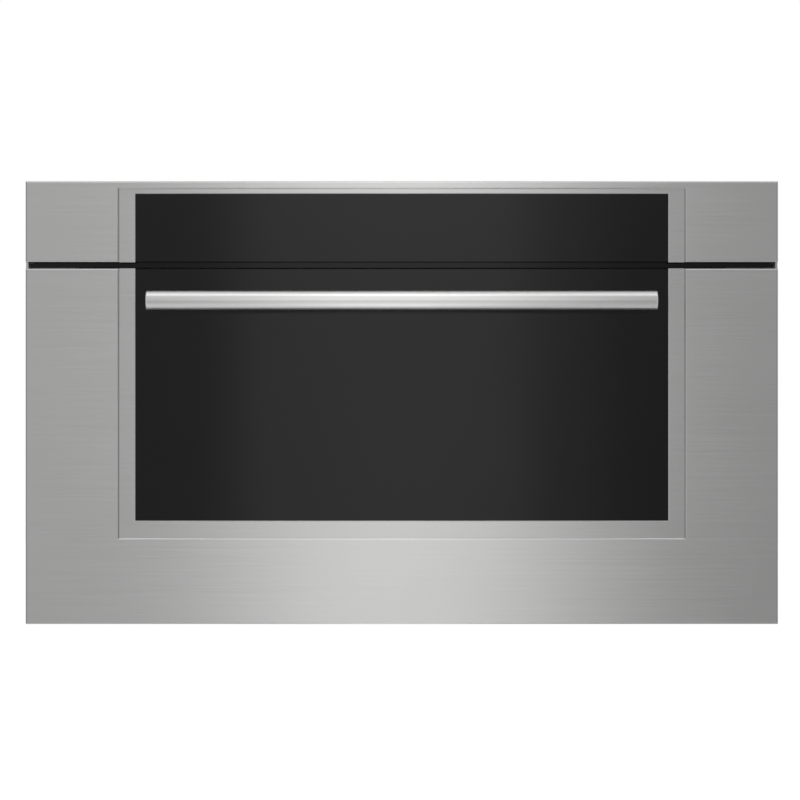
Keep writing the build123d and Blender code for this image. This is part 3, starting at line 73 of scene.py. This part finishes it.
class Look:
    """A Principled material and a few helpers that feed it, in metres."""

    def __init__(self, name, color, rough, metal=0.0, **sockets):
        self.mat = bpy.data.materials.new(name)
        self.mat.use_nodes = True
        self.tree = self.mat.node_tree
        self.shader = self.tree.nodes["Principled BSDF"]
        self.color = color
        self.set("Base Color", (*color, 1.0))
        self.set("Roughness", rough)
        self.set("Metallic", metal)
        for key, value in sockets.items():
            self.set(key.replace("_", " "), value)

    def set(self, socket, value):
        self.shader.inputs[socket].default_value = value

    def node(self, kind, links=(), **values):
        n = self.tree.nodes.new(kind)
        for key, value in values.items():
            setattr(n, key, value)
        for socket, source in dict(links).items():
            self.feed(n.inputs[socket], source)
        return n

    def feed(self, socket, source):
        if hasattr(source, "links"):
            self.tree.links.new(source, socket)
        else:
            socket.default_value = source

    def place(self, scale):
        coord = self.node("ShaderNodeTexCoord")
        links = {"Vector": coord.outputs["Object"], "Scale": scale}
        return self.node("ShaderNodeMapping", links).outputs["Vector"]

    def axis(self, index):
        coord = self.node("ShaderNodeTexCoord")
        split = self.node("ShaderNodeSeparateXYZ", {"Vector": coord.outputs["Object"]})
        return split.outputs[index]

    def noise(self, scale, detail, rough=0.5):
        links = {"Vector": self.place(scale), "Scale": 1.0, "Detail": detail, "Roughness": rough}
        return self.node("ShaderNodeTexNoise", links).outputs["Fac"]

    def cells(self, scale, feature="F1", output="Distance"):
        links = {"Vector": self.place(scale), "Scale": 1.0}
        return self.node("ShaderNodeTexVoronoi", links, feature=feature).outputs[output]

    def math(self, op, a, b=0.0):
        n = self.node("ShaderNodeMath", operation=op)
        self.feed(n.inputs[0], a)
        self.feed(n.inputs[1], b)
        return n.outputs[0]

    def spread(self, value, low, high, to_low, to_high):
        links = {"Value": value, "From Min": low, "From Max": high, "To Min": to_low, "To Max": to_high}
        return self.node("ShaderNodeMapRange", links).outputs["Result"]

    def mix(self, factor, a, b):
        n = self.node("ShaderNodeMix", data_type="RGBA")
        self.feed(n.inputs[0], factor)
        self.feed(n.inputs[6], a if hasattr(a, "links") else (*a, 1.0))
        self.feed(n.inputs[7], b if hasattr(b, "links") else (*b, 1.0))
        return n.outputs[2]

    def tint(self, factor, dark, light):
        low = tuple(c * dark for c in self.color)
        high = tuple(min(1.0, c * light) for c in self.color)
        self.paint(self.mix(factor, low, high))

    def paint(self, source):
        self.feed(self.shader.inputs["Base Color"], source)

    def gloss(self, value, low, high, to_low, to_high):
        self.feed(self.shader.inputs["Roughness"], self.spread(value, low, high, to_low, to_high))

    def bump(self, height, distance, strength):
        links = {"Height": height, "Distance": distance, "Strength": strength}
        before = self.shader.inputs["Normal"]
        if before.is_linked:
            links["Normal"] = before.links[0].from_socket
        n = self.node("ShaderNodeBump", links)
        self.feed(before, n.outputs["Normal"])


def brushed(name, color, rough, anisotropic, grain=1.0, rotation=0.25):
    """Steel with a fine grain along X."""
    look = Look(name, color, rough, 1.0, Anisotropic=anisotropic, Anisotropic_Rotation=rotation)
    streaks = look.noise((14.0, 2600.0, 2600.0), 2.0, 0.6)
    bands = look.noise((2.5, 900.0, 900.0), 2.0, 0.5)
    patches = look.noise((14.0, 14.0, 14.0), 2.0, 0.4)
    both = look.math("ADD", look.math("MULTIPLY", streaks, 0.65), look.math("MULTIPLY", bands, 0.35))
    look.tint(look.spread(both, 0.3, 0.7, 0.0, 1.0), 1 - 0.04 * grain, 1 + 0.04 * grain)
    mixed = look.math("ADD", look.math("MULTIPLY", both, 0.7), look.math("MULTIPLY", patches, 0.3))
    look.gloss(mixed, 0.35, 0.65, rough - 0.02, rough + 0.02)
    look.bump(both, 0.000012 * grain, 0.5)
    return look


def front_steel(name, color, rough, painted_bend_shadow):
    """Brushed sheet with a painted shadow on its side bends, darker by a factor fitted to the seam lines in
    the photograph.
    """
    look = brushed(name, color, rough, anisotropic=0.93)
    coord = look.node("ShaderNodeTexCoord")
    facing = look.node("ShaderNodeSeparateXYZ", {"Vector": coord.outputs["Normal"]})
    sideways = look.spread(look.math("ABSOLUTE", facing.outputs[0]), 0.2, 0.4, 0.0, 1.0)
    forward = look.spread(look.math("ABSOLUTE", facing.outputs[1]), 0.15, 0.3, 0.0, 1.0)
    # Painted shadow: faces turned sideways on the front are darkened to stand for the shade in the seam
    # lines.
    bend_shadow_mask = look.math("MULTIPLY", sideways, forward)
    plain = look.shader.inputs["Base Color"].links[0].from_socket
    look.paint(look.mix(bend_shadow_mask, plain, tuple(c * painted_bend_shadow for c in color)))
    return look


def turned_bar(name, color, rough):
    """A round bar brushed along its length, which spreads its reflections round the bar."""
    look = brushed(name, color, rough, anisotropic=0.95, grain=0.2, rotation=0.0)
    around = look.node("ShaderNodeTangent", direction_type="RADIAL", axis="X")
    look.feed(look.shader.inputs["Tangent"], around.outputs["Tangent"])
    return look


def black_gloss(name, rough, level=0.38):
    """Glossy black, printed glass or plastic, with a faint haze."""
    look = Look(name, (0.0025, 0.0025, 0.0028), rough, IOR=1.5, Specular_IOR_Level=level)
    haze = look.noise((9, 9, 9), 3.0, 0.5)
    look.gloss(haze, 0.35, 0.65, rough - 0.012, rough + 0.012)
    look.tint(haze, 0.9, 1.1)
    return look


def clear_glass(name, color, rough):
    look = Look(name, color, rough, Transmission_Weight=1.0, IOR=1.5)
    smear = look.noise((22, 22, 22), 3.0, 0.5)
    look.gloss(smear, 0.4, 0.7, rough, rough + 0.03)
    look.bump(look.noise((60, 60, 60), 1.0), 0.00002, 0.4)
    return look


def galvanised():
    look = Look("galvanised", (0.56, 0.575, 0.59), 0.38, 0.9)
    flake = look.cells((90, 90, 90), output="Color")
    value = look.node("ShaderNodeSeparateColor", {"Color": flake}).outputs[0]
    soft = look.noise((35, 35, 35), 4.0, 0.6)
    both = look.math("ADD", look.math("MULTIPLY", value, 0.5), look.math("MULTIPLY", soft, 0.5))
    look.tint(both, 0.82, 1.14)
    look.gloss(both, 0.2, 0.8, 0.3, 0.46)
    look.bump(soft, 0.00004, 0.4)
    return look


def plated(name, color=(0.66, 0.67, 0.66), rough=0.3):
    look = Look(name, color, rough, 1.0)
    stain = look.noise((120, 120, 120), 4.0, 0.6)
    look.tint(stain, 0.8, 1.12)
    look.gloss(stain, 0.3, 0.7, rough - 0.06, rough + 0.12)
    look.bump(look.noise((900, 900, 900), 2.0), 0.00003, 0.4)
    return look


def moulded(name, color, rough, clear=0.0):
    look = Look(name, color, rough, IOR=1.5, Coat_Weight=clear, Coat_Roughness=0.15)
    fine = look.noise((1400, 1400, 1400), 2.0, 0.6)
    broad = look.noise((18, 18, 18), 3.0, 0.5)
    look.tint(broad, 0.88, 1.12)
    look.gloss(broad, 0.35, 0.65, rough - 0.05, rough + 0.08)
    look.bump(fine, 0.00006, 0.5)
    return look


def enamel(name, color, rough=0.32):
    """Satin enamel on pressed steel, with a slight orange peel."""
    look = Look(name, color, rough, IOR=1.5, Coat_Weight=0.35, Coat_Roughness=0.2)
    peel = look.noise((260, 260, 260), 2.0, 0.5)
    soft = look.noise((7, 7, 7), 3.0, 0.5)
    look.tint(soft, 0.92, 1.06)
    look.gloss(peel, 0.3, 0.7, rough - 0.04, rough + 0.06)
    look.bump(peel, 0.00006, 0.35)
    return look


def rubber():
    look = Look("rubber", (0.022, 0.022, 0.023), 0.75, IOR=1.45)
    dust = look.noise((300, 300, 300), 4.0, 0.65)
    look.tint(dust, 0.7, 1.7)
    look.gloss(dust, 0.3, 0.7, 0.66, 0.86)
    look.bump(dust, 0.0001, 0.5)
    return look


def lamination():
    """Stacked, varnished steel sheets."""
    look = Look("lamination", (0.13, 0.135, 0.145), 0.45, 0.7)
    lines = look.noise((30, 1900, 30), 1.0, 0.4)
    look.tint(lines, 0.5, 1.6)
    look.gloss(lines, 0.3, 0.7, 0.36, 0.55)
    look.bump(lines, 0.00015, 0.6)
    return look


def copper():
    look = Look("copper", (0.55, 0.23, 0.09), 0.32, 0.85, Coat_Weight=0.5, Coat_Roughness=0.12)
    turns = look.noise((40, 40, 1500), 1.0, 0.4)
    look.tint(turns, 0.6, 1.25)
    look.gloss(turns, 0.3, 0.7, 0.25, 0.42)
    look.bump(turns, 0.0002, 0.7)
    return look


def perforated():
    """Black sheet with staggered round holes, seen through the inner pane. The holes are painted
    near-black, a painted shade for the dark behind them.
    """
    look = Look("perforated", (0.05, 0.05, 0.052), 0.42, 0.35)
    pitch = 0.0023
    keep_positive = 1000.0
    row_share = math.sin(math.radians(60))
    row = pitch * row_share
    x, z = look.axis(0), look.axis(2)
    a = look.math("DIVIDE", z, row)
    line = look.math("FLOOR", a)
    odd = look.math("MULTIPLY", look.math("MODULO", look.math("ABSOLUTE", line), 2.0), 0.5)
    column = look.math("ADD", look.math("DIVIDE", x, pitch), odd)
    u = look.math("FRACT", look.math("ADD", column, keep_positive))
    v = look.math("SUBTRACT", a, line)
    du = look.math("SUBTRACT", u, 0.5)
    dv = look.math("MULTIPLY", look.math("SUBTRACT", v, 0.5), row_share)
    r2 = look.math("ADD", look.math("MULTIPLY", du, du), look.math("MULTIPLY", dv, dv))
    hole_shade_mask = look.spread(look.math("SQRT", r2), 0.27, 0.33, 1.0, 0.0)
    # Painted shade: the holes are painted near-black where the dark behind the sheet would show.
    look.paint(look.mix(hole_shade_mask, (0.07, 0.07, 0.073), (0.002, 0.002, 0.002)))
    look.gloss(hole_shade_mask, 0.0, 1.0, 0.4, 0.9)
    return look


def mica():
    look = Look("mica", (0.50, 0.42, 0.32), 0.5, IOR=1.5)
    flake = look.noise((60, 160, 160), 4.0, 0.7)
    look.tint(flake, 0.75, 1.25)
    look.gloss(flake, 0.3, 0.7, 0.35, 0.6)
    look.bump(flake, 0.00008, 0.4)
    return look


def board():
    look = Look("board", (0.02, 0.13, 0.06), 0.35, IOR=1.5, Coat_Weight=0.4, Coat_Roughness=0.15)
    tracks = look.cells((140, 140, 140), "DISTANCE_TO_EDGE")
    look.paint(look.mix(look.spread(tracks, 0.02, 0.06, 1.0, 0.0), (0.015, 0.11, 0.05), (0.04, 0.22, 0.1)))
    look.gloss(tracks, 0.0, 0.4, 0.3, 0.42)
    return look


def lamp_look():
    look = Look("lamp", (0.75, 0.74, 0.70), 0.3, 0.6)
    soft = look.noise((80, 80, 80), 2.0)
    look.tint(soft, 0.85, 1.1)
    look.gloss(soft, 0.3, 0.7, 0.25, 0.4)
    return look


def aluminium():
    look = Look("aluminium", (0.74, 0.75, 0.76), 0.3, 1.0)
    roll = look.noise((400, 12, 400), 2.0, 0.5)
    look.tint(roll, 0.86, 1.08)
    look.gloss(roll, 0.3, 0.7, 0.24, 0.4)
    look.bump(roll, 0.00003, 0.4)
    return look


steel = (0.74, 0.74, 0.735)
# How dark the painted shadow on the side bends of the front sheets is.
painted_bend_shadow = 0.62
looks = {
    "stainless": brushed("stainless", steel, 0.22, anisotropic=0.93),
    "front_steel": front_steel("front_steel", steel, 0.22, painted_bend_shadow),
    "bezel_steel": brushed("bezel_steel", (0.70, 0.70, 0.695), 0.22, anisotropic=0.93, grain=0.8),
    "handle_steel": turned_bar("handle_steel", (0.83, 0.83, 0.825), 0.23),
    "black_glass": black_gloss("black_glass", 0.057),
    "clear_glass": clear_glass("clear_glass", (0.93, 0.97, 0.95), 0.01),
    "frame_steel": enamel("frame_steel", (0.33, 0.335, 0.34)),
    # Near-black enamel for the front frame. It is also painted shade for the gap between door and fascia.
    "dark_frame": enamel("dark_frame", (0.03, 0.03, 0.031), 0.4),
    "door_inner_steel": enamel("door_inner_steel", (0.20, 0.20, 0.205)),
    "cavity_steel": brushed("cavity_steel", (0.76, 0.755, 0.74), 0.34, anisotropic=0.3, grain=0.6),
    "galvanised": galvanised(),
    "zinc": plated("zinc"),
    "aluminium": aluminium(),
    "lamination": lamination(),
    "copper": copper(),
    "spring_steel": plated("spring_steel", (0.34, 0.34, 0.35), 0.28),
    "screen_steel": perforated(),
    "black_plastic": moulded("black_plastic", (0.018, 0.018, 0.019), 0.5),
    "gloss_plastic": black_gloss("gloss_plastic", 0.07, 0.32),
    "choke_plastic": moulded("choke_plastic", (0.035, 0.035, 0.037), 0.42, clear=0.15),
    "white_plastic": moulded("white_plastic", (0.74, 0.73, 0.69), 0.4, clear=0.2),
    "roller": moulded("roller", (0.58, 0.57, 0.54), 0.42),
    "switch_red": moulded("switch_red", (0.48, 0.03, 0.025), 0.35, clear=0.3),
    "rubber": rubber(),
    "mica": mica(),
    "circuit_board": board(),
    "lamp": lamp_look(),
}

for part in frame["record"]["subparts"]:
    piece = nodes[part["node"]]
    piece.data.materials.clear()
    piece.data.materials.append(looks[part["material_slot"]].mat)
# Finishes that replace the file's. The front sheets get the painted bend shadow. The front frame and vent
# grille are set black: black enamel and plastic, which also stand in for the shade in the gap between door
# and fascia.
finishes_and_painted_shade = {
    "front_frame": "dark_frame",
    "vent_grille": "gloss_plastic",
    "door_outer_panel": "front_steel",
    "fascia_panel": "front_steel",
}
for node, look_name in finishes_and_painted_shade.items():
    nodes[node].data.materials[0] = looks[look_name].mat


# Own pieces, in metres

pane_gap = 0.0004
merge_gap = 1e-6
level_gap = 1e-5

# Domed screw heads: (share of the radius, share of the height) from the rim to the middle
head_dome = ((1.0, 0.45), (0.93, 0.72), (0.78, 0.9), (0.55, 0.98), (0.3, 1.0))
head_sides = 28
rim_share = 0.98
recess_arm = 0.52
recess_width = 0.13
recess_depth = 0.75
recess_taper = 0.55
screw_turn = math.radians(37)

# The solids have 6 turns. The real number isn't known.
spring_turns = 18
turn_steps = 20
wire_sides = 8
wire_r = 0.0006
closed_pitch = 2 * wire_r


def add_piece(name, mesh, node, body=None):
    """A piece that is shown in a CAD node's place and rides on its body, or on the one that is named."""
    mesh.name = name
    obj = bpy.data.objects.new(name, mesh)
    scene.collection.objects.link(obj)
    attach(obj, body or nodes[node]["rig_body"])
    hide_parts(node)
    return obj


def window_pane():
    """The inner pane, a hair thinner than its CAD solid, because it would touch the screen face to face."""
    pane = add_piece("window_pane", nodes["door_inner_glass"].data.copy(), "door_inner_glass")
    low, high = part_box("door_inner_glass")
    for vertex in pane.data.vertices:
        if vertex.co.y < (low.y + high.y) / 2:
            vertex.co.y += pane_gap


def loose_parts(mesh):
    """The corner points of each separate solid in a mesh."""
    bm = bmesh.new()
    bm.from_mesh(mesh)
    bmesh.ops.remove_doubles(bm, verts=bm.verts, dist=merge_gap)
    left = set(bm.verts)
    parts = []
    while left:
        reached = [left.pop()]
        part = []
        while reached:
            vertex = reached.pop()
            part.append(vertex.co.copy())
            for edge in vertex.link_edges:
                other = edge.other_vert(vertex)
                if other in left:
                    left.remove(other)
                    reached.append(other)
        parts.append(part)
    bm.free()
    return sorted(parts, key=lambda part: tuple(round(c, 5) for c in part_middle(part)))


def part_middle(part):
    """The middle of a part's box."""
    return [(min(p[i] for p in part) + max(p[i] for p in part)) / 2 for i in range(3)]


def ring(bm, radius, y, sides):
    """A ring of points round Y."""
    turns = [2 * math.pi * i / sides for i in range(sides)]
    return [bm.verts.new((radius * math.cos(t), y, radius * math.sin(t))) for t in turns]


def skin_rings(bm, rings):
    """Faces between rings of points, closed at both ends."""
    for a, b in zip(rings, rings[1:]):
        for i in range(len(a)):
            k = (i + 1) % len(a)
            bm.faces.new((a[i], a[k], b[k], b[i]))
    bm.faces.new(rings[0])
    bm.faces.new(rings[-1])
    bmesh.ops.recalc_face_normals(bm, faces=bm.faces)


def cross_recess(bm, top, arm, half_width, depth):
    """A tapered cross, for cutting out of a screw's head."""
    corners = [(arm, -half_width), (arm, half_width), (half_width, half_width)]
    outline = []
    for quarter in range(4):
        c, s = math.cos(quarter * math.pi / 2), math.sin(quarter * math.pi / 2)
        outline += [(x * c - z * s, x * s + z * c) for x, z in corners]
    levels_y = ((top + depth, 1.0), (top, 1.0), (top - depth, recess_taper))
    skin_rings(bm, [[bm.verts.new((x * k, y, z * k)) for x, z in outline] for y, k in levels_y])


def mesh_of(build, *values):
    """A mesh made by a function that fills a bmesh."""
    bm = bmesh.new()
    build(bm, *values)
    mesh = bpy.data.meshes.new("made")
    bm.to_mesh(mesh)
    bm.free()
    return mesh


def pan_head(part):
    """One screw with a domed head and a cross recess, in the size of the CAD screw, about its own axis."""
    x, y, z = part_middle(part)
    reach = [math.hypot(p.x - x, p.z - z) for p in part]
    head_r = max(reach)
    tip, top = min(p.y for p in part), max(p.y for p in part)
    seat = min(p.y for p, r in zip(part, reach) if r > head_r * rim_share)
    shank_r = max(r for p, r in zip(part, reach) if p.y < tip + level_gap)
    rise = top - seat
    profile = [(shank_r, tip), (shank_r, seat), (head_r, seat)]
    profile += [(head_r * across, seat + rise * up) for across, up in head_dome]
    solid = mesh_of(lambda bm: skin_rings(bm, [ring(bm, r, h, head_sides) for r, h in profile]))
    tool_mesh = mesh_of(cross_recess, top, head_r * recess_arm, head_r * recess_width, rise * recess_depth)
    head, tool = bpy.data.objects.new("head", solid), bpy.data.objects.new("tool", tool_mesh)
    for obj in (head, tool):
        scene.collection.objects.link(obj)
    cut = head.modifiers.new("recess", "BOOLEAN")
    cut.object = tool
    cut.operation = "DIFFERENCE"
    cut.solver = "EXACT"
    bpy.context.view_layer.update()
    shaped = bpy.data.meshes.new_from_object(head.evaluated_get(bpy.context.evaluated_depsgraph_get()))
    for obj in (head, tool):
        bpy.data.objects.remove(obj)
    return shaped


def cross_screws(name, node, slot):
    """Cross-head screws at the places of a node's plain ones."""
    parts = loose_parts(nodes[node].data)
    shaped = pan_head(parts[0])
    bm = bmesh.new()
    for i, part in enumerate(parts):
        start = len(bm.verts)
        bm.from_mesh(shaped)
        bm.verts.ensure_lookup_table()
        x, y, z = part_middle(part)
        turn = Matrix.Rotation(i * screw_turn, 4, "Y")
        bmesh.ops.transform(bm, matrix=Matrix.Translation((x, 0, z)) @ turn, verts=bm.verts[start:])
    mesh = bpy.data.meshes.new(name)
    bm.to_mesh(mesh)
    bm.free()
    obj = add_piece(name, mesh, node)
    obj.data.materials.append(looks[slot].mat)


def wound_wire(bm, axis_x, axis_y, low, high, coil_r):
    """A spring about an upright axis, with its first and last turn closed."""
    start = low + wire_r
    open_pitch = (high - low - 2 * wire_r - 2 * closed_pitch) / (spring_turns - 2)
    up = Vector((0.0, 0.0, 1.0))
    sides = [2 * math.pi * k / wire_sides for k in range(wire_sides)]
    rings = []
    for i in range(spring_turns * turn_steps + 1):
        turned = i / turn_steps
        closed = min(turned, 1.0) + max(turned - spring_turns + 1, 0.0)
        z = start + closed * closed_pitch + (turned - closed) * open_pitch
        t = 2 * math.pi * turned
        outward = Vector((math.cos(t), math.sin(t), 0.0))
        middle = Vector((axis_x, axis_y, z)) + outward * coil_r
        offsets = [outward * wire_r * math.cos(a) + up * wire_r * math.sin(a) for a in sides]
        rings.append([bm.verts.new(middle + offset) for offset in offsets])
    skin_rings(bm, rings)


def door_spring(name, link):
    """A spring of round wire on a link's rod. As the door opens, its seat comes up towards the washer."""
    low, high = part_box("hinge_springs")
    outer_r = (high.y - low.y) / 2
    link_low, link_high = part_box(link)
    axis_x, axis_y = (link_low.x + link_high.x) / 2, (high.y + low.y) / 2
    mesh = mesh_of(wound_wire, axis_x, axis_y, low.z, high.z, outer_r - wire_r)
    mesh.polygons.foreach_set("use_smooth", [True] * len(mesh.polygons))
    spring = add_piece(name, mesh, "hinge_springs", nodes[link]["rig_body"])
    spring.data.materials.append(looks["spring_steel"].mat)
    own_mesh(spring)


window_pane()
cross_screws("rear_cross_screws", "chassis_screws", "zinc")
cross_screws("door_cross_screws", "door_screws", "zinc")
door_spring("left_spring", "hinge_link_left")
door_spring("right_spring", "hinge_link_right")

# Studio: pale floor, white surroundings and a softbox above


def plane(name, corners):
    """A flat stage piece through four corners."""
    mesh = bpy.data.meshes.new(name)
    mesh.from_pydata([Vector(c) for c in corners], [], [(0, 1, 2, 3)])
    obj = bpy.data.objects.new(name, mesh)
    scene.collection.objects.link(obj)
    return obj


floor_z = -0.36
floor_half = 9
corners = [(-1, -1), (1, -1), (1, 1), (-1, 1)]
floor = plane("floor", [(x * floor_half, y * floor_half, floor_z) for x, y in corners])
floor_look = Look("floor", (0.86, 0.86, 0.86), 0.7, Emission_Color=(1, 1, 1, 1), Emission_Strength=0.36)
floor_look.tint(floor_look.noise((3, 3, 3), 2.0), 0.99, 1.01)
floor.data.materials.append(floor_look.mat)
floor.visible_glossy = False


def levels(look, value, stops):
    """A smooth curve through (place, level) stops."""
    low, high = stops[0][0], stops[-1][0]
    ramp = look.node("ShaderNodeValToRGB", {"Fac": look.spread(value, low, high, 0.0, 1.0)})
    ramp.color_ramp.interpolation = "EASE"
    marks = ramp.color_ramp.elements
    marks[0].position = 0.0
    marks[1].position = 1.0
    for mark, level in ((marks[0], stops[0][1]), (marks[1], stops[-1][1])):
        mark.color = (level, level, level, 1.0)
    for place, level in stops[1:-1]:
        mark = marks.new((place - low) / (high - low))
        mark.color = (level, level, level, 1.0)
    return ramp.outputs["Color"]


class Sky(Look):
    """The world's node tree with the same helpers."""

    def __init__(self, world):
        world.use_nodes = True
        self.tree = world.node_tree
        self.shader = self.tree.nodes["Background"]


# White surroundings. Before the oven the studio is darker, with a bright upright band in the middle.
# The (degrees, level) stops were set until the front's grey levels met the photograph's.
across_levels = [
    (-20, 0.36), (-12, 0.45), (-7, 0.44), (-5, 0.42), (-3.8, 0.43), (-2.5, 0.88), (0, 0.95),
    (1.8, 0.93), (3.2, 0.56), (4.6, 0.36), (5.9, 0.316), (12, 0.318), (20, 0.31),
]
height_levels = [
    (-90, 1.5), (-72, 1.5), (-50, 1.4), (-34, 0.88), (-8, 0.78), (0, 1.0),
    (7, 1.25), (26, 1.16), (46, 1.15), (58, 1.6), (74, 1.6), (90, 0.75),
]
side_start, side_end = 26.0, 115.0
side_reflection = (0.7, 0.7, 0.7)
world = bpy.data.worlds.new("studio")
scene.world = world
sky = Sky(world)
coord = sky.node("ShaderNodeTexCoord")
axes = sky.node("ShaderNodeSeparateXYZ", {"Vector": coord.outputs["Generated"]})
across = sky.math("ARCTAN2", axes.outputs[0], sky.math("MULTIPLY", axes.outputs[1], -1.0))
across = sky.math("MULTIPLY", across, 180 / math.pi)
height = sky.math("MULTIPLY", sky.math("ARCSINE", axes.outputs[2]), 180 / math.pi)
band = levels(sky, across, across_levels)
rise = levels(sky, height, height_levels)
front_light = sky.node("ShaderNodeMix", data_type="RGBA", blend_type="MULTIPLY")
sky.feed(front_light.inputs[0], 1.0)
sky.feed(front_light.inputs[6], band)
sky.feed(front_light.inputs[7], rise)
off_middle = sky.math("ABSOLUTE", across)
side_links = {"Value": off_middle, "From Min": side_start, "From Max": side_end}
side = sky.node("ShaderNodeMapRange", side_links, interpolation_type="SMOOTHSTEP")
path = sky.node("ShaderNodeLightPath")
white = sky.mix(path.outputs["Is Glossy Ray"], (1.0, 1.0, 1.0), side_reflection)
around = sky.mix(side.outputs["Result"], front_light.outputs[2], white)
sky.feed(sky.shader.inputs["Color"], sky.mix(path.outputs["Is Camera Ray"], around, (1.0, 1.0, 1.0)))
sky.shader.inputs["Strength"].default_value = 1.0


def softbox(name, place, aim, size, power):
    """A rectangular area light."""
    data = bpy.data.lights.new(name, "AREA")
    data.shape = "RECTANGLE"
    data.size, data.size_y = size
    data.energy = power
    obj = bpy.data.objects.new(name, data)
    scene.collection.objects.link(obj)
    obj.location = place
    obj.rotation_euler = (Vector(aim) - Vector(place)).to_track_quat("-Z", "Y").to_euler()


softbox("top_light", place=(0, -1.0, 3.0), aim=(0, 0, 0.2), size=(3.2, 1.2), power=8)

# Camera straight before the front, as in the photograph
camera = bpy.data.objects.new("camera", bpy.data.cameras.new("camera"))
scene.collection.objects.link(camera)
camera_gap = 3.0
front_y = -0.038
view_width = 0.8066
view_x, view_z = -0.0018, 0.2172
sensor_width = 36.0
camera.location = (view_x, front_y - camera_gap, view_z)
camera.rotation_euler = (math.radians(90), 0, 0)
camera.data.sensor_width = sensor_width
camera.data.lens = sensor_width * camera_gap / view_width
camera.data.clip_end = 60.0
scene.camera = camera
